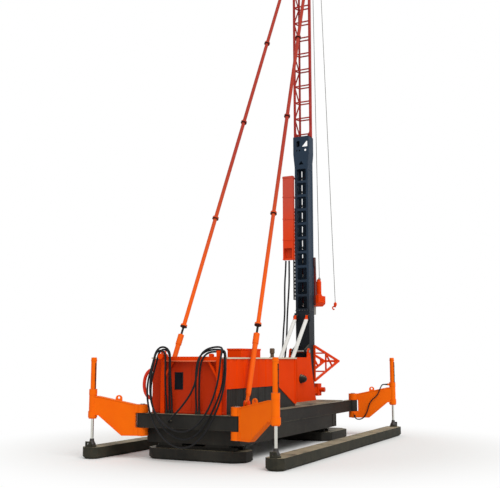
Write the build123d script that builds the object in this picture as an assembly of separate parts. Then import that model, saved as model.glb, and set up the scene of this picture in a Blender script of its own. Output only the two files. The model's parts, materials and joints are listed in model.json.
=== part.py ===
"""Jet grouting rig on a walking base, as separate named pieces in millimetres.

Z is up, Y points forward to the mast, X to the right.
The origin is on the ground under the platform.
"""

import math
import os

from build123d import *

# Running gap at slides, pins and rods, and the gap beside swinging ears
RUN = 0.3
SWING_GAP = 6

# Cross feet and the lower frame that slides on them
FOOT_HALF_W = 1450
FOOT_H = 280
FOOT_CORNER = 260
FOOT_BEVEL = 45
FRONT_FOOT = (1900, 3800)
REAR_FOOT = (-4250, -3350)
FOOT_RAIL_H = 80
FOOT_RAIL_W = 110
FOOT_RAIL_INSET = 240
SADDLE_X = 700
SADDLE_L = 700
SADDLE_W = 240
LOWER_Z = 430
LOWER_REAR = -4200
LOWER_FRONT = 2740
LOWER_INSET = 10
LOWER_BEAM_W = 120
LOWER_SPINE_W = 300
LOWER_BEAMS_Y = (-2100, -300, 1160)

# Platform
PLATFORM_HALF_W = 1390
PLATFORM_REAR = -4560
PLATFORM_FRONT = 4550
PLATFORM_Z = 820
DECK_Z = 1190
DECK_T = 10
DECK_FRONT = 3950
GIRDER_W = 200
FLANGE_T = 22
FLANGE_LIP = 12
CROSS_BEAMS_Y = (-2100, 0, 1600)

# Outrigger arms and jacks
ARM_PIN_X = 1400
ARM_PIN_Y = 4410
ARM_PIN_D = 100
ARM_SPLAY = 20.2
ARM_LENGTH = 1360
ARM_W = 200
ARM_LOW = 600
ARM_HIGH = 1410
ARM_NECK = 180
PANEL_EDGE = 24
PANEL_DEPTH = 12
EAR_R = 150
SLEEVE_D = 205
SLEEVE_LOW = 1060
SLEEVE_HIGH = 1650
SLEEVE_RING_D = 240
SLEEVE_RING_H = 165
LUG_D = 180
LUG_T = 30
LUG_HOLE_D = 60
LUG_HOLE_Z = 1580
JACK_BARREL_D = 148
JACK_ROD_D = 80
JACK_TOP = 2640
JACK_COLLAR_D = 215
JACK_COLLAR_H = 150
JACK_GLAND_H = 28
JACK_FOOT_D = 210
SEAT_D = 250
SEAT_H = 40

# Valve block on the jack and port block on the arm that carry the arm's hose
HOSED_ARM = "front_right"
VALVE_REACH = 165
VALVE_W = 70
VALVE_Z = 1725
PORT_R = 50
PORT_Z = 700

# Long shoes
SHOE_X = 2675
SHOE_W = 490
SHOE_H = 300
SHOE_HALF_L = 5070
SHOE_CORNER = 130
SHOE_BEVEL = 60
STOP_W = 180
STOP_H = 150
STOP_T = 24
TOW_HOLE_D = 60
TOW_HOLE_H = 85

# House
HOUSE_HALF_W = 1120
HOUSE_REAR = -4420
HOUSE_FRONT = 60
HOUSE_TOP = 2600
WALL_T = 20
END_WALL_T = 30
BAND_Z = 1840
BEND_Y = -1260
TOE_Y = -60
TOE_Z = 1275
RIB_T = 20
RIB_PITCH = 440
RIB_W = 220
RIB_SLOPE = 35
SKIRT_RIB_T = 12
SKIRT_LAP = 55
HATCH_X = (-395, -180)
HATCH_Z = (1830, 2240)
ROOF_T = 40
ROOF_EAVE = 15
ROOF_BOX_X = (620, 1020)
ROOF_BOX_Y = (-3450, -2250)
ROOF_BOX_H = 235
LID_H = 45
LID_LIP = 12
EXHAUST = (600, -550)
EXHAUST_D = 110
EXHAUST_CAP_D = 150
EXHAUST_H = 275

# Hose posts at the rear
POST_X = (-730, 925)
POST_W = 115
POST_D = 80
POST_TOP = 2810
POST_GAP = 20
HOSE_BEAM_Z = (2560, 2660)
HOSE_BRACE_W = 50
HOSE_BRACE_DROP = 500
HOSE_BRACE_RUN = 260
ARCH_X = (-645, 690)
SADDLE_DRUM_D = 150
HOOK_D = 90

# Mast tower and winch
PIVOT_Y = 3000
PIVOT_Z = 2850
PIVOT_D = 100
PIVOT_BOSS_D = 220
TOWER_X = 330
TOWER_T = 30
TOWER_REAR = 1950
TOWER_FLANGE = 28
WINCH_Y = 2260
WINCH_Z = 1950
WINCH_HALF_W = 250
WINCH_D = 320
WINCH_FLANGE_D = 500
WINCH_SHAFT_D = 90
CHEEK_T = 30
CHEEK_GAP = 10

# Mast box
MAST_W = 500
MAST_REAR = 3285
MAST_FRONT = 3715
MAST_FOOT = 1300
MAST_TOP = 9380
MAST_WALL = 20
WINDOW_Z = 4545
WINDOW_PITCH = 506
WINDOW_COUNT = 10
WINDOW_W = 350
WINDOW_H = 420
WINDOW_R = 35
SLOT_X = 155
SLOT_W = 56
SLOT_H = 330
SLOT_RISE = 60
SLOT_R = 25
SIDE_RECESS = 8
SIDE_MARGIN = 60
JOINT_Z = 4290
JOINT_LIP = 12
JOINT_H = 36

# Lattice extension on its flared box
FLARE_W = 600
FLARE_Z = 9870
TRUSS_Z = 10500
TRUSS_TOP = 17600
TRUSS_REAR_X = 300
TRUSS_REAR_Y = 3465
RAIL_HALF = 215
RAIL_T = 60
RAIL_FOOT = 1900
CHORD_T = 70
BAY = 610
FIRST_BAY = 120
LACING_W = 40
DIAGONAL_W = 36
GUSSET_T = 12
GUSSET_L = 230
SHEAVE_D = 340
SHEAVE_W = 60
SHEAVE_X = 70
SHEAVE_SHAFT_D = 60
CROWN_T = 40
CROWN_H = 240

# Front bracket
NOSE = (6070, 2520)
BRACKET_Z = (1860, 3040)
BRACKET_T = 56
BRACKET_H = 76
BRACKET_TIE = 50
NOSE_PLATE = 450

# Rotary head and foot clamp
DRILL_Y = 4300
HEAD_Z = 4470
CARRIAGE_H = 1700
CARRIAGE_W = 560
CARRIAGE_T = 60
CARRIAGE_GAP = 15
GEAR_HALF_W = 385
GEAR_H = 360
MOTOR_X = 225
MOTOR_D = 180
MOTOR_H = 600
SPINDLE_D = 120
SWIVEL_D = 180
SOCKET_D = 110
SOCKET_DEPTH = 160
CLAMP_Z = 1320
CLAMP_H = 420
CLAMP_HALF_W = 230
CLAMP_BORE = 230
CLAMP_RAM_D = 170

# Hose duct and drag chain on the mast's left
DUCT_X = (-652, -263)
DUCT_Y = (3120, 3270)
DUCT_Z = (6050, 9060)
DUCT_WALL = 15
DUCT_BANDS = (6743, 7486, 8283, 8990)
BAND_H = 45
BAND_LIP = 10
CHAIN_Z = (4650, 7900)
CHAIN_W = 90
CHAIN_PITCH = 130

# Tilt cylinders
CYL_X = 215
CYL_TOP_Y = 3180
CYL_TOP_Z = 4030
CYL_FOOT_Y = 800
CYL_FOOT_Z = 1450
CYL_D = 130
CYL_TUBE = 2060
CYL_GLAND_D = 150
RAM_D = 76
EYE_T = 80
EYE_PIN_D = 60
LUG_PLATE = 22

# Stays
STAY_FOOT = (1300, -3650, 1460)
STAY_TOP = (380, TRUSS_REAR_Y - 180, TRUSS_TOP - 530)
STAY_D = 115
STAY_TUBE_D = 140
STAY_TUBE_END = 1666
STAY_SLEEVE_D = 170
STAY_SLEEVE_END = 1990
STAY_PIPE_START = 2250
STAY_SCREW_D = 62
STAY_FLANGES = (0.346, 0.566, 0.772)
STAY_FLANGE_D = 190

# Hoses
HOSE_D = 50
RED_HOSE_D = 90
ARM_HOSE_D = 40
MAST_HOSE_D = 60

LOW = (Align.CENTER, Align.CENTER, Align.MIN)


def block(x0, x1, y0, y1, z0, z1):
    middle = Pos((x0 + x1) / 2, (y0 + y1) / 2, (z0 + z1) / 2)
    return middle * Box(x1 - x0, y1 - y0, z1 - z0)


def drum_z(x, y, z0, z1, d):
    return Pos(x, y, z0) * Cylinder(d / 2, z1 - z0, align=LOW)


def drum_x(x0, x1, y, z, d):
    return Pos(x0, y, z) * Rot(0, 90, 0) * Cylinder(d / 2, x1 - x0, align=LOW)


def drum_y(x, y0, y1, z, d):
    return Pos(x, y0, z) * Rot(-90, 0, 0) * Cylinder(d / 2, y1 - y0, align=LOW)


def outline(points):
    return make_face(Polyline(*points, close=True))


def plan(points, z0, z1):
    return extrude(Plane.XY.offset(z0) * outline(points), z1 - z0)


def side(points, x0, x1):
    return extrude(Plane.YZ.offset(x0) * outline(points), x1 - x0)


def front_face(face, y0, y1):
    return extrude(Plane((0, y0, 0), x_dir=(1, 0, 0), z_dir=(0, -1, 0)) * face, y0 - y1)


def front(points, y0, y1):
    return front_face(outline(points), y0, y1)


def rounded_hole(x, z, w, h, r, y0, y1):
    return front_face(Pos(x, z) * RectangleRounded(w, h, r), y0, y1)


def turned(points):
    return revolve(Plane.XZ * outline(points), Axis.Z)


def along(p, q, x_dir=None):
    p, q = Vector(*p), Vector(*q)
    return Plane(p, x_dir=x_dir, z_dir=q - p)


def bar(p, q, w, t, x_dir):
    length = (Vector(*q) - Vector(*p)).length
    return along(p, q, x_dir) * Box(w, t, length, align=LOW)


def both(shape):
    return [shape, mirror(shape, Plane.YZ)]


def joined(shapes):
    return shapes[0].fuse(*shapes[1:])


def save(name, *shapes):
    solids = [s for shape in shapes for s in shape.solids()]
    whole = solids[0] if len(solids) == 1 else Compound(children=solids)
    export_step(whole, f"parts/{name}.step")


def hose(points, d):
    points = [Vector(*p) for p in points]
    radii = []
    for a, b, c in zip(points, points[1:], points[2:]):
        run = min((b - a).length, (c - b).length)
        turn = math.radians((b - a).get_angle(c - b))
        radii.append(0.45 * run / math.tan(turn / 2))
    print("hose radii", [round(r) for r in radii])
    path = FilletPolyline(*points, radius=radii)
    return sweep(Plane(path @ 0, z_dir=path % 0) * Circle(d / 2), path=path)


os.makedirs("parts", exist_ok=True)

# Cross feet with their slide rails, and the lower frame on saddles over them
rail_top = FOOT_H + FOOT_RAIL_H
lower_w = PLATFORM_HALF_W - LOWER_INSET
lower_top = PLATFORM_Z - RUN
half_beam = LOWER_BEAM_W / 2
lower = both(block(lower_w - LOWER_BEAM_W, lower_w, LOWER_REAR, LOWER_FRONT, LOWER_Z, lower_top))
lower.append(block(-LOWER_SPINE_W / 2, LOWER_SPINE_W / 2, LOWER_REAR, LOWER_FRONT, LOWER_Z, lower_top))
for y in (LOWER_REAR + half_beam, *LOWER_BEAMS_Y, LOWER_FRONT - half_beam):
    lower.append(block(-lower_w, lower_w, y - half_beam, y + half_beam, LOWER_Z, lower_top))
for y in (LOWER_FRONT - 330, LOWER_FRONT - 40):
    lower += both(block(lower_w - 60, PLATFORM_HALF_W, y, y + 40, LOWER_Z, lower_top))
for name, (y0, y1) in [("front", FRONT_FOOT), ("rear", REAR_FOOT)]:
    w, c = FOOT_HALF_W, FOOT_CORNER
    corners = [
        (-w, y0 + c),
        (-w + c, y0),
        (w - c, y0),
        (w, y0 + c),
        (w, y1 - c),
        (w - c, y1),
        (-w + c, y1),
        (-w, y1 - c),
    ]
    foot = plan(corners, 0, FOOT_H)
    foot = chamfer(foot.faces().sort_by(Axis.Z)[0].edges(), FOOT_BEVEL)
    for y in (y0 + FOOT_RAIL_INSET, min(y1, LOWER_FRONT) - FOOT_RAIL_INSET):
        foot += block(-w + c, w - c, y - FOOT_RAIL_W / 2, y + FOOT_RAIL_W / 2, FOOT_H, rail_top)
        lower.append(block(-lower_w, lower_w, y - half_beam, y + half_beam, LOWER_Z, lower_top))
        for x in (-SADDLE_X, SADDLE_X):
            saddle = Box(SADDLE_L, SADDLE_W, LOWER_Z + 40 - rail_top - RUN, align=LOW)
            lower.append(Pos(x, y, rail_top + RUN) * saddle)
    save(f"foot_{name}", foot)
save("lower_frame", joined(lower))

# Platform frame of flanged girders with its hinge tongues
inner = PLATFORM_HALF_W - GIRDER_W
half_girder = GIRDER_W / 2
web_z = (PLATFORM_Z + FLANGE_T, DECK_Z - FLANGE_T)
girders = both(block(inner, PLATFORM_HALF_W, PLATFORM_REAR, PLATFORM_FRONT, PLATFORM_Z, DECK_Z))
for y in (PLATFORM_REAR + half_girder, *CROSS_BEAMS_Y, DECK_FRONT - half_girder):
    beam = block(-inner - 1, inner + 1, y - half_girder, y + half_girder, PLATFORM_Z, DECK_Z)
    girders.append(beam)
girders.append(block(-half_girder, half_girder, PLATFORM_REAR, DECK_FRONT, PLATFORM_Z, DECK_Z))
frame = joined(girders)
web = PLATFORM_HALF_W - FLANGE_LIP
for groove in both(block(web, PLATFORM_HALF_W + 1, PLATFORM_REAR - 1, PLATFORM_FRONT + 1, *web_z)):
    frame -= groove
frame -= block(-web, web, PLATFORM_REAR - 1, PLATFORM_REAR + FLANGE_LIP, *web_z)
for x in (-ARM_PIN_X, ARM_PIN_X):
    for y in (-ARM_PIN_Y, ARM_PIN_Y):
        frame += drum_z(x, y, PLATFORM_Z, DECK_Z, 2 * EAR_R - 20)
        frame -= drum_z(x, y, PLATFORM_Z - 1, DECK_Z + 1, ARM_PIN_D + 2 * RUN)
save("platform_frame", frame)
save("deck_plate", block(-inner + 5, inner - 5, PLATFORM_REAR, DECK_FRONT, DECK_Z, DECK_Z + DECK_T))
floor = DECK_Z + DECK_T

# Outrigger arm as a box plate with recessed panels, ears, jack sleeve and lifting lug
arm_side = [
    (EAR_R + 20, ARM_LOW),
    (0.4 * ARM_LENGTH, ARM_LOW),
    (ARM_LENGTH - ARM_NECK, SLEEVE_LOW + 60),
    (ARM_LENGTH, SLEEVE_LOW + 60),
    (ARM_LENGTH, SLEEVE_HIGH - 20),
    (ARM_LENGTH - ARM_NECK, SLEEVE_HIGH - 30),
    (EAR_R + 20, ARM_HIGH),
]
half_arm = ARM_W / 2
arm = front(arm_side, -half_arm, half_arm)
panel = offset(outline(arm_side), -PANEL_EDGE, kind=Kind.INTERSECTION)
for y in (-half_arm, half_arm):
    arm -= front_face(panel, y - PANEL_DEPTH, y + PANEL_DEPTH)
for z0, z1 in [(ARM_LOW, PLATFORM_Z - SWING_GAP), (DECK_Z + SWING_GAP, ARM_HIGH)]:
    arm += drum_z(0, 0, z0, z1, 2 * EAR_R)
    arm += block(0, EAR_R + 60, -half_arm, half_arm, z0, z1)
arm += drum_z(ARM_LENGTH, 0, SLEEVE_LOW, SLEEVE_HIGH, SLEEVE_D)
arm += drum_z(ARM_LENGTH, 0, SLEEVE_LOW, SLEEVE_LOW + SLEEVE_RING_H, SLEEVE_RING_D)
lug_r = ARM_LENGTH / 2 - 30
lug_z = LUG_HOLE_Z - 20
lug = block(lug_r - LUG_D / 2, lug_r + LUG_D / 2, -LUG_T / 2, LUG_T / 2, lug_z - 110, lug_z)
lug += drum_y(lug_r, -LUG_T / 2, LUG_T / 2, lug_z, LUG_D)
arm += lug - drum_y(lug_r, -LUG_T, LUG_T, LUG_HOLE_Z, LUG_HOLE_D)
arm -= drum_z(0, 0, ARM_LOW - 1, ARM_HIGH + 1, ARM_PIN_D + 2 * RUN)
arm -= drum_z(ARM_LENGTH, 0, SLEEVE_LOW - 1, SLEEVE_HIGH + 1, JACK_BARREL_D + 2 * RUN)

# Jack barrel clamped above and below the sleeve, and the rod turned in one with its foot
gland_z = SLEEVE_LOW - JACK_GLAND_H
barrel = drum_z(0, 0, gland_z, JACK_TOP, JACK_BARREL_D)
barrel = chamfer(barrel.faces().sort_by(Axis.Z)[-1].edges(), 12)
barrel += drum_z(0, 0, gland_z, SLEEVE_LOW, SLEEVE_D)
barrel += drum_z(0, 0, SLEEVE_HIGH, SLEEVE_HIGH + JACK_COLLAR_H, JACK_COLLAR_D)
barrel += drum_z(0, 0, JACK_TOP - 100, JACK_TOP - 60, JACK_BARREL_D + 16)
barrel -= drum_z(0, 0, gland_z - 1, JACK_TOP - 20, JACK_ROD_D + 2 * RUN)
sole_z = SHOE_H + SEAT_H + RUN
rod_r, foot_r = JACK_ROD_D / 2, JACK_FOOT_D / 2
jack_rod = turned(
    [
        (0, sole_z),
        (foot_r, sole_z),
        (foot_r, sole_z + 35),
        (rod_r + 24, sole_z + 110),
        (rod_r + 14, sole_z + 170),
        (rod_r, sole_z + 170),
        (rod_r, JACK_TOP - 390),
        (0, JACK_TOP - 390),
    ]
)
valve = block(-VALVE_REACH, -JACK_BARREL_D / 2 - 10, -VALVE_W / 2, VALVE_W / 2, VALVE_Z - 35, VALVE_Z + 35)
port = block(PORT_R - 30, PORT_R + 30, -half_arm - 110, -half_arm + 1, PORT_Z, PORT_Z + 60)
pin_low, pin_high = ARM_LOW - 15, ARM_HIGH + 15
pin = drum_z(0, 0, pin_low, pin_high, ARM_PIN_D) + drum_z(0, 0, ARM_HIGH, pin_high, ARM_PIN_D + 40)

# The four arms, named by corner
CORNERS = [
    ("rear_right", 1, -1, -ARM_SPLAY),
    ("front_right", 1, 1, ARM_SPLAY),
    ("rear_left", -1, -1, 180 + ARM_SPLAY),
    ("front_left", -1, 1, 180 - ARM_SPLAY),
]
pins = []
for name, sx, sy, angle in CORNERS:
    hinge = Pos(sx * ARM_PIN_X, sy * ARM_PIN_Y, 0) * Rot(0, 0, angle)
    hosed = name == HOSED_ARM
    save(f"arm_{name}", hinge * (arm + port if hosed else arm))
    save(f"jack_barrel_{name}", hinge * Pos(ARM_LENGTH, 0, 0) * (barrel + valve if hosed else barrel))
    save(f"jack_rod_{name}", hinge * Pos(ARM_LENGTH, 0, 0) * jack_rod)
    pins.append(hinge * pin)
save("arm_pins", *pins)

# Long shoes with jack seats and tow brackets
jack_x = ARM_PIN_X + ARM_LENGTH * math.cos(math.radians(ARM_SPLAY))
jack_y = ARM_PIN_Y + ARM_LENGTH * math.sin(math.radians(ARM_SPLAY))
x0, x1, e, c = SHOE_X - SHOE_W / 2, SHOE_X + SHOE_W / 2, SHOE_HALF_L, SHOE_CORNER
shoe = plan(
    [
        (x0 + c, -e),
        (x1 - c, -e),
        (x1, -e + c),
        (x1, e - c),
        (x1 - c, e),
        (x0 + c, e),
        (x0, e - c),
        (x0, -e + c),
    ],
    0,
    SHOE_H,
)
shoe = chamfer(shoe.faces().sort_by(Axis.Z)[0].edges(), SHOE_BEVEL)
half_stop = STOP_W / 2
for sy in (-1, 1):
    shoe += drum_z(jack_x, sy * jack_y, SHOE_H, SHOE_H + SEAT_H, SEAT_D)
    y = sy * (SHOE_HALF_L - 35)
    stop_x = (jack_x - half_stop, jack_x + half_stop)
    stop = block(*stop_x, y - STOP_T / 2, y + STOP_T / 2, SHOE_H, SHOE_H + STOP_H)
    shoe += stop - drum_y(jack_x, y - STOP_T, y + STOP_T, SHOE_H + TOW_HOLE_H, TOW_HOLE_D)
    heel = y - sy * 50
    for x in (jack_x - half_stop, jack_x + half_stop - 16):
        shoe += side([(heel, SHOE_H), (y, SHOE_H), (y, SHOE_H + STOP_H), (heel, SHOE_H + 60)], x, x + 16)
save("long_shoe_right", shoe)
save("long_shoe_left", mirror(shoe, Plane.YZ))

# House side walls, ribbed behind the bend and plain before it
edge_low = [
    (HOUSE_REAR, BAND_Z),
    (BEND_Y, BAND_Z),
    (TOE_Y, TOE_Z),
    (HOUSE_FRONT, TOE_Z),
    (HOUSE_FRONT, HOUSE_TOP),
    (HOUSE_REAR, HOUSE_TOP),
]
skin = HOUSE_HALF_W - RIB_T
wall_in = skin - WALL_T
rib_count = int((BEND_Y - HOUSE_REAR) / RIB_PITCH)


def corrugation(base, crest, z0, z1):
    ribs = []
    for k in range(rib_count):
        y = HOUSE_REAR + (k + 0.5) * RIB_PITCH
        half, top = RIB_W / 2, RIB_W / 2 - RIB_SLOPE
        profile = [(base, y - half), (crest, y - top), (crest, y + top), (base, y + half)]
        ribs.append(plan(profile, z0, z1))
    return ribs


wall = side(edge_low, wall_in, skin)
wall += corrugation(skin - 1, HOUSE_HALF_W, BAND_Z, HOUSE_TOP)
wall += block(skin - 1, HOUSE_HALF_W, HOUSE_FRONT - 80, HOUSE_FRONT, TOE_Z, HOUSE_TOP)
save("house_side_walls", *both(wall))

# Skirts below the bend line, with ribs under the wall's
skirt_side = [
    (HOUSE_REAR + END_WALL_T, floor),
    (HOUSE_FRONT - END_WALL_T, floor),
    (HOUSE_FRONT - END_WALL_T, TOE_Z + SKIRT_LAP),
    (TOE_Y, TOE_Z + SKIRT_LAP),
    (BEND_Y, BAND_Z + SKIRT_LAP),
    (HOUSE_REAR + END_WALL_T, BAND_Z + SKIRT_LAP),
]
skirt = side(skirt_side, wall_in - WALL_T, wall_in)
skirt += corrugation(wall_in - 1, wall_in + SKIRT_RIB_T, floor, BAND_Z)
save("house_skirts", *both(skirt))

# End walls, roof, roof box, exhaust, power pack
rear = block(-skin, skin, HOUSE_REAR, HOUSE_REAR + END_WALL_T, floor, HOUSE_TOP)
for cut in both(block(wall_in, skin + 1, HOUSE_REAR - 1, HOUSE_REAR + END_WALL_T + 1, BAND_Z, HOUSE_TOP + 1)):
    rear -= cut
rear -= block(*HATCH_X, HOUSE_REAR - 1, HOUSE_REAR + END_WALL_T + 1, *HATCH_Z)
save("house_wall_rear", rear)
save("house_wall_front", block(-wall_in, wall_in, HOUSE_FRONT - END_WALL_T, HOUSE_FRONT, floor, HOUSE_TOP))
eave = HOUSE_HALF_W + ROOF_EAVE
roof_top = HOUSE_TOP + ROOF_T
save("house_roof", block(-eave, eave, HOUSE_REAR - ROOF_EAVE, HOUSE_FRONT + ROOF_EAVE, HOUSE_TOP, roof_top))
(x0, x1), (y0, y1), lid_z = ROOF_BOX_X, ROOF_BOX_Y, roof_top + ROOF_BOX_H - LID_H
box = block(x0, x1, y0, y1, roof_top, lid_z)
box += block(x0 - LID_LIP, x1 + LID_LIP, y0 - LID_LIP, y1 + LID_LIP, lid_z, lid_z + LID_H)
save("roof_box", box)
stack_r, cap_r = EXHAUST_D / 2, EXHAUST_CAP_D / 2
stack = turned(
    [
        (0, 0),
        (cap_r + 15, 0),
        (cap_r + 15, 16),
        (stack_r, 16),
        (stack_r, 0.4 * EXHAUST_H),
        (cap_r, 0.5 * EXHAUST_H),
        (cap_r, EXHAUST_H - 20),
        (cap_r - 20, EXHAUST_H),
        (0, EXHAUST_H),
    ]
)
save("exhaust_stack", Pos(*EXHAUST, roof_top) * stack)
save("power_pack", block(-700, 700, -3900, -1300, floor, 2250))

# Hose posts at the rear, with a drum for the left arch and a hook for the right one
post_y0, post_y1 = HOUSE_REAR - POST_GAP - POST_D, HOUSE_REAR - POST_GAP
beam_low, beam_high = HOSE_BEAM_Z
post_mid = (post_y0 + post_y1) / 2
posts = []
for x, inward in zip(POST_X, (1, -1)):
    posts.append(block(x - POST_W / 2, x + POST_W / 2, post_y0, post_y1, floor, POST_TOP))
    low_end = (x, post_mid, beam_low - HOSE_BRACE_DROP)
    high_end = (x + inward * (POST_W / 2 + HOSE_BRACE_RUN), post_mid, beam_low + 20)
    posts.append(bar(low_end, high_end, HOSE_BRACE_W, HOSE_BRACE_W, (0, 1, 0)))
posts.append(block(*POST_X, post_y0, post_y1, beam_low, beam_high))
posts.append(drum_y(ARCH_X[0], post_y0 - 260, post_y0 + 10, beam_high + 5, SADDLE_DRUM_D))
posts.append(drum_y(ARCH_X[1], post_y0, post_y1 + 50, beam_high + 30, HOOK_D))
save("hose_posts", joined(posts))

# Tower plates carrying the mast pivot, with flanged front edges
tower_front = [(3620, floor), (3430, 1700), (3200, 2450), (PIVOT_Y + 110, PIVOT_Z)]
tower_back = [(PIVOT_Y - 110, PIVOT_Z), (2840, 2650), (TOWER_REAR, 2650), (TOWER_REAR, floor)]
plate_x = (TOWER_X - TOWER_T / 2, TOWER_X + TOWER_T / 2)
tower = side(tower_front + tower_back, *plate_x)
flange_back = [(y - TOWER_FLANGE, z) for y, z in reversed(tower_front)]
tower += side(tower_front + flange_back, plate_x[0] - TOWER_FLANGE, plate_x[0] + 1)
tower += drum_x(*plate_x, PIVOT_Y, PIVOT_Z, PIVOT_BOSS_D)
tower -= drum_x(plate_x[0] - 40, plate_x[1] + 1, PIVOT_Y, PIVOT_Z, PIVOT_D + 2 * RUN)
back_plate = block(-TOWER_X, TOWER_X, TOWER_REAR, TOWER_REAR + TOWER_T, floor, 2250)
save("mast_tower", joined(both(tower) + [back_plate]))
save("mast_pin", drum_x(-TOWER_X - 45, TOWER_X + 45, PIVOT_Y, PIVOT_Z, PIVOT_D))

# Winch drum between its cheeks
cheek_x = (WINCH_HALF_W + CHEEK_GAP, WINCH_HALF_W + CHEEK_GAP + CHEEK_T)
cheek_side = [
    (WINCH_Y - 260, floor),
    (WINCH_Y + 260, floor),
    (WINCH_Y + 260, floor + 120),
    (WINCH_Y + 120, WINCH_Z),
    (WINCH_Y - 120, WINCH_Z),
    (WINCH_Y - 260, floor + 120),
]
cheek = side(cheek_side, *cheek_x) + drum_x(*cheek_x, WINCH_Y, WINCH_Z, 240)
cheek -= drum_x(cheek_x[0] - 1, cheek_x[1] + 1, WINCH_Y, WINCH_Z, WINCH_SHAFT_D + 2 * RUN)
save("winch_cheeks", *both(cheek))
drum = drum_x(-WINCH_HALF_W, WINCH_HALF_W, WINCH_Y, WINCH_Z, WINCH_D)
drum += drum_x(-cheek_x[1] + 5, cheek_x[1] - 5, WINCH_Y, WINCH_Z, WINCH_SHAFT_D)
for flange in both(drum_x(WINCH_HALF_W - 25, WINCH_HALF_W, WINCH_Y, WINCH_Z, WINCH_FLANGE_D)):
    drum += flange
save("winch_drum", drum)

# Mast box with rounded windows behind, slots in front and recessed sides
m, t = MAST_W / 2, MAST_WALL
mast = block(-m, m, MAST_REAR, MAST_FRONT, MAST_FOOT, MAST_TOP)
mast += block(-m - JOINT_LIP, m + JOINT_LIP, MAST_REAR - JOINT_LIP, MAST_FRONT, JOINT_Z - JOINT_H, JOINT_Z)
cuts = [block(-m + t, m - t, MAST_REAR + t, MAST_FRONT - t, MAST_FOOT - 1, MAST_TOP + 1)]
for k in range(WINDOW_COUNT):
    z = WINDOW_Z + k * WINDOW_PITCH
    cuts.append(rounded_hole(0, z, WINDOW_W, WINDOW_H, WINDOW_R, MAST_REAR - 1, MAST_REAR + t + 1))
    slot_z = z + SLOT_RISE
    for x in (-SLOT_X, SLOT_X):
        cuts.append(rounded_hole(x, slot_z, SLOT_W, SLOT_H, SLOT_R, MAST_FRONT - t - 1, MAST_FRONT + 1))
recess_y = (MAST_REAR + SIDE_MARGIN, MAST_FRONT - SIDE_MARGIN)
cuts += both(block(m - SIDE_RECESS, m + 1, *recess_y, JOINT_Z + 60, MAST_TOP - 90))
mast -= cuts

# Pivot lugs and cylinder clevises welded to the mast's rear
lug_x = (m - 45, m)
lug_side = [
    (MAST_REAR + 5, PIVOT_Z - 250),
    (MAST_REAR + 5, PIVOT_Z + 250),
    (PIVOT_Y, PIVOT_Z + 105),
    (PIVOT_Y, PIVOT_Z - 105),
]
lug = side(lug_side, *lug_x) + drum_x(*lug_x, PIVOT_Y, PIVOT_Z, PIVOT_BOSS_D - 10)
lug -= drum_x(lug_x[0] - 1, lug_x[1] + 1, PIVOT_Y, PIVOT_Z, PIVOT_D + 2 * RUN)
mast += both(lug)
clevis_in = EYE_T / 2 + 8
clevis_out = clevis_in + LUG_PLATE
clevis_side = [
    (MAST_REAR + 5, CYL_TOP_Z - 130),
    (MAST_REAR + 5, CYL_TOP_Z + 130),
    (CYL_TOP_Y - 40, CYL_TOP_Z + 50),
    (CYL_TOP_Y - 40, CYL_TOP_Z - 50),
]
clevis = side(clevis_side, CYL_X - clevis_out, CYL_X - clevis_in)
clevis += side(clevis_side, CYL_X + clevis_in, CYL_X + clevis_out)
clevis += drum_x(CYL_X - clevis_out - 10, CYL_X + clevis_out + 10, CYL_TOP_Y, CYL_TOP_Z, EYE_PIN_D)
pad_x = (CYL_X - clevis_out - 10, CYL_X + clevis_out + 10)
clevis += block(*pad_x, MAST_REAR - 20, MAST_REAR, CYL_TOP_Z - 150, CYL_TOP_Z + 150)
mast += both(clevis - block(-m, m, MAST_REAR + t, MAST_FRONT, MAST_FOOT, MAST_TOP))
save("mast_box", mast)

# Flared box between mast and lattice, with cut-outs behind and an open front
b = FLARE_W / 2
flare = [(-m, MAST_TOP), (m, MAST_TOP), (b, FLARE_Z), (b, TRUSS_Z), (-b, TRUSS_Z), (-b, FLARE_Z)]
shell = front(flare, MAST_REAR, MAST_FRONT)
hollow = [
    (-m + t, MAST_TOP - 1),
    (m - t, MAST_TOP - 1),
    (b - t, FLARE_Z),
    (b - t, TRUSS_Z - t),
    (-b + t, TRUSS_Z - t),
    (-b + t, FLARE_Z),
]
shell -= front(hollow, MAST_REAR + t, MAST_FRONT - t)
rear_wall = (MAST_REAR - 1, MAST_REAR + t + 1)
shell -= front([(-95, MAST_TOP + 90), (95, MAST_TOP + 90), (0, MAST_TOP + 230)], *rear_wall)
shell -= front([(30, TRUSS_Z - 380), (245, TRUSS_Z - 380), (245, TRUSS_Z - 140)], *rear_wall)
shell -= rounded_hole(-115, TRUSS_Z - 262, 130, 220, WINDOW_R, *rear_wall)
for x, hole_d in ((-165, 60), (-57, 60), (164, 80)):
    shell -= drum_y(x, *rear_wall, FLARE_Z + 125, hole_d)
shell -= block(70 - b, b - 70, MAST_FRONT - t - 1, MAST_FRONT + 1, FLARE_Z + 40, TRUSS_Z - 60)
save("mast_transition", shell)

# Guide rails on the mast front
g = RAIL_T / 2
rail = block(RAIL_HALF - g, RAIL_HALF + g, MAST_FRONT, MAST_FRONT + RAIL_T, RAIL_FOOT, TRUSS_Z)
save("mast_rails", *both(rail))

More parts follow.
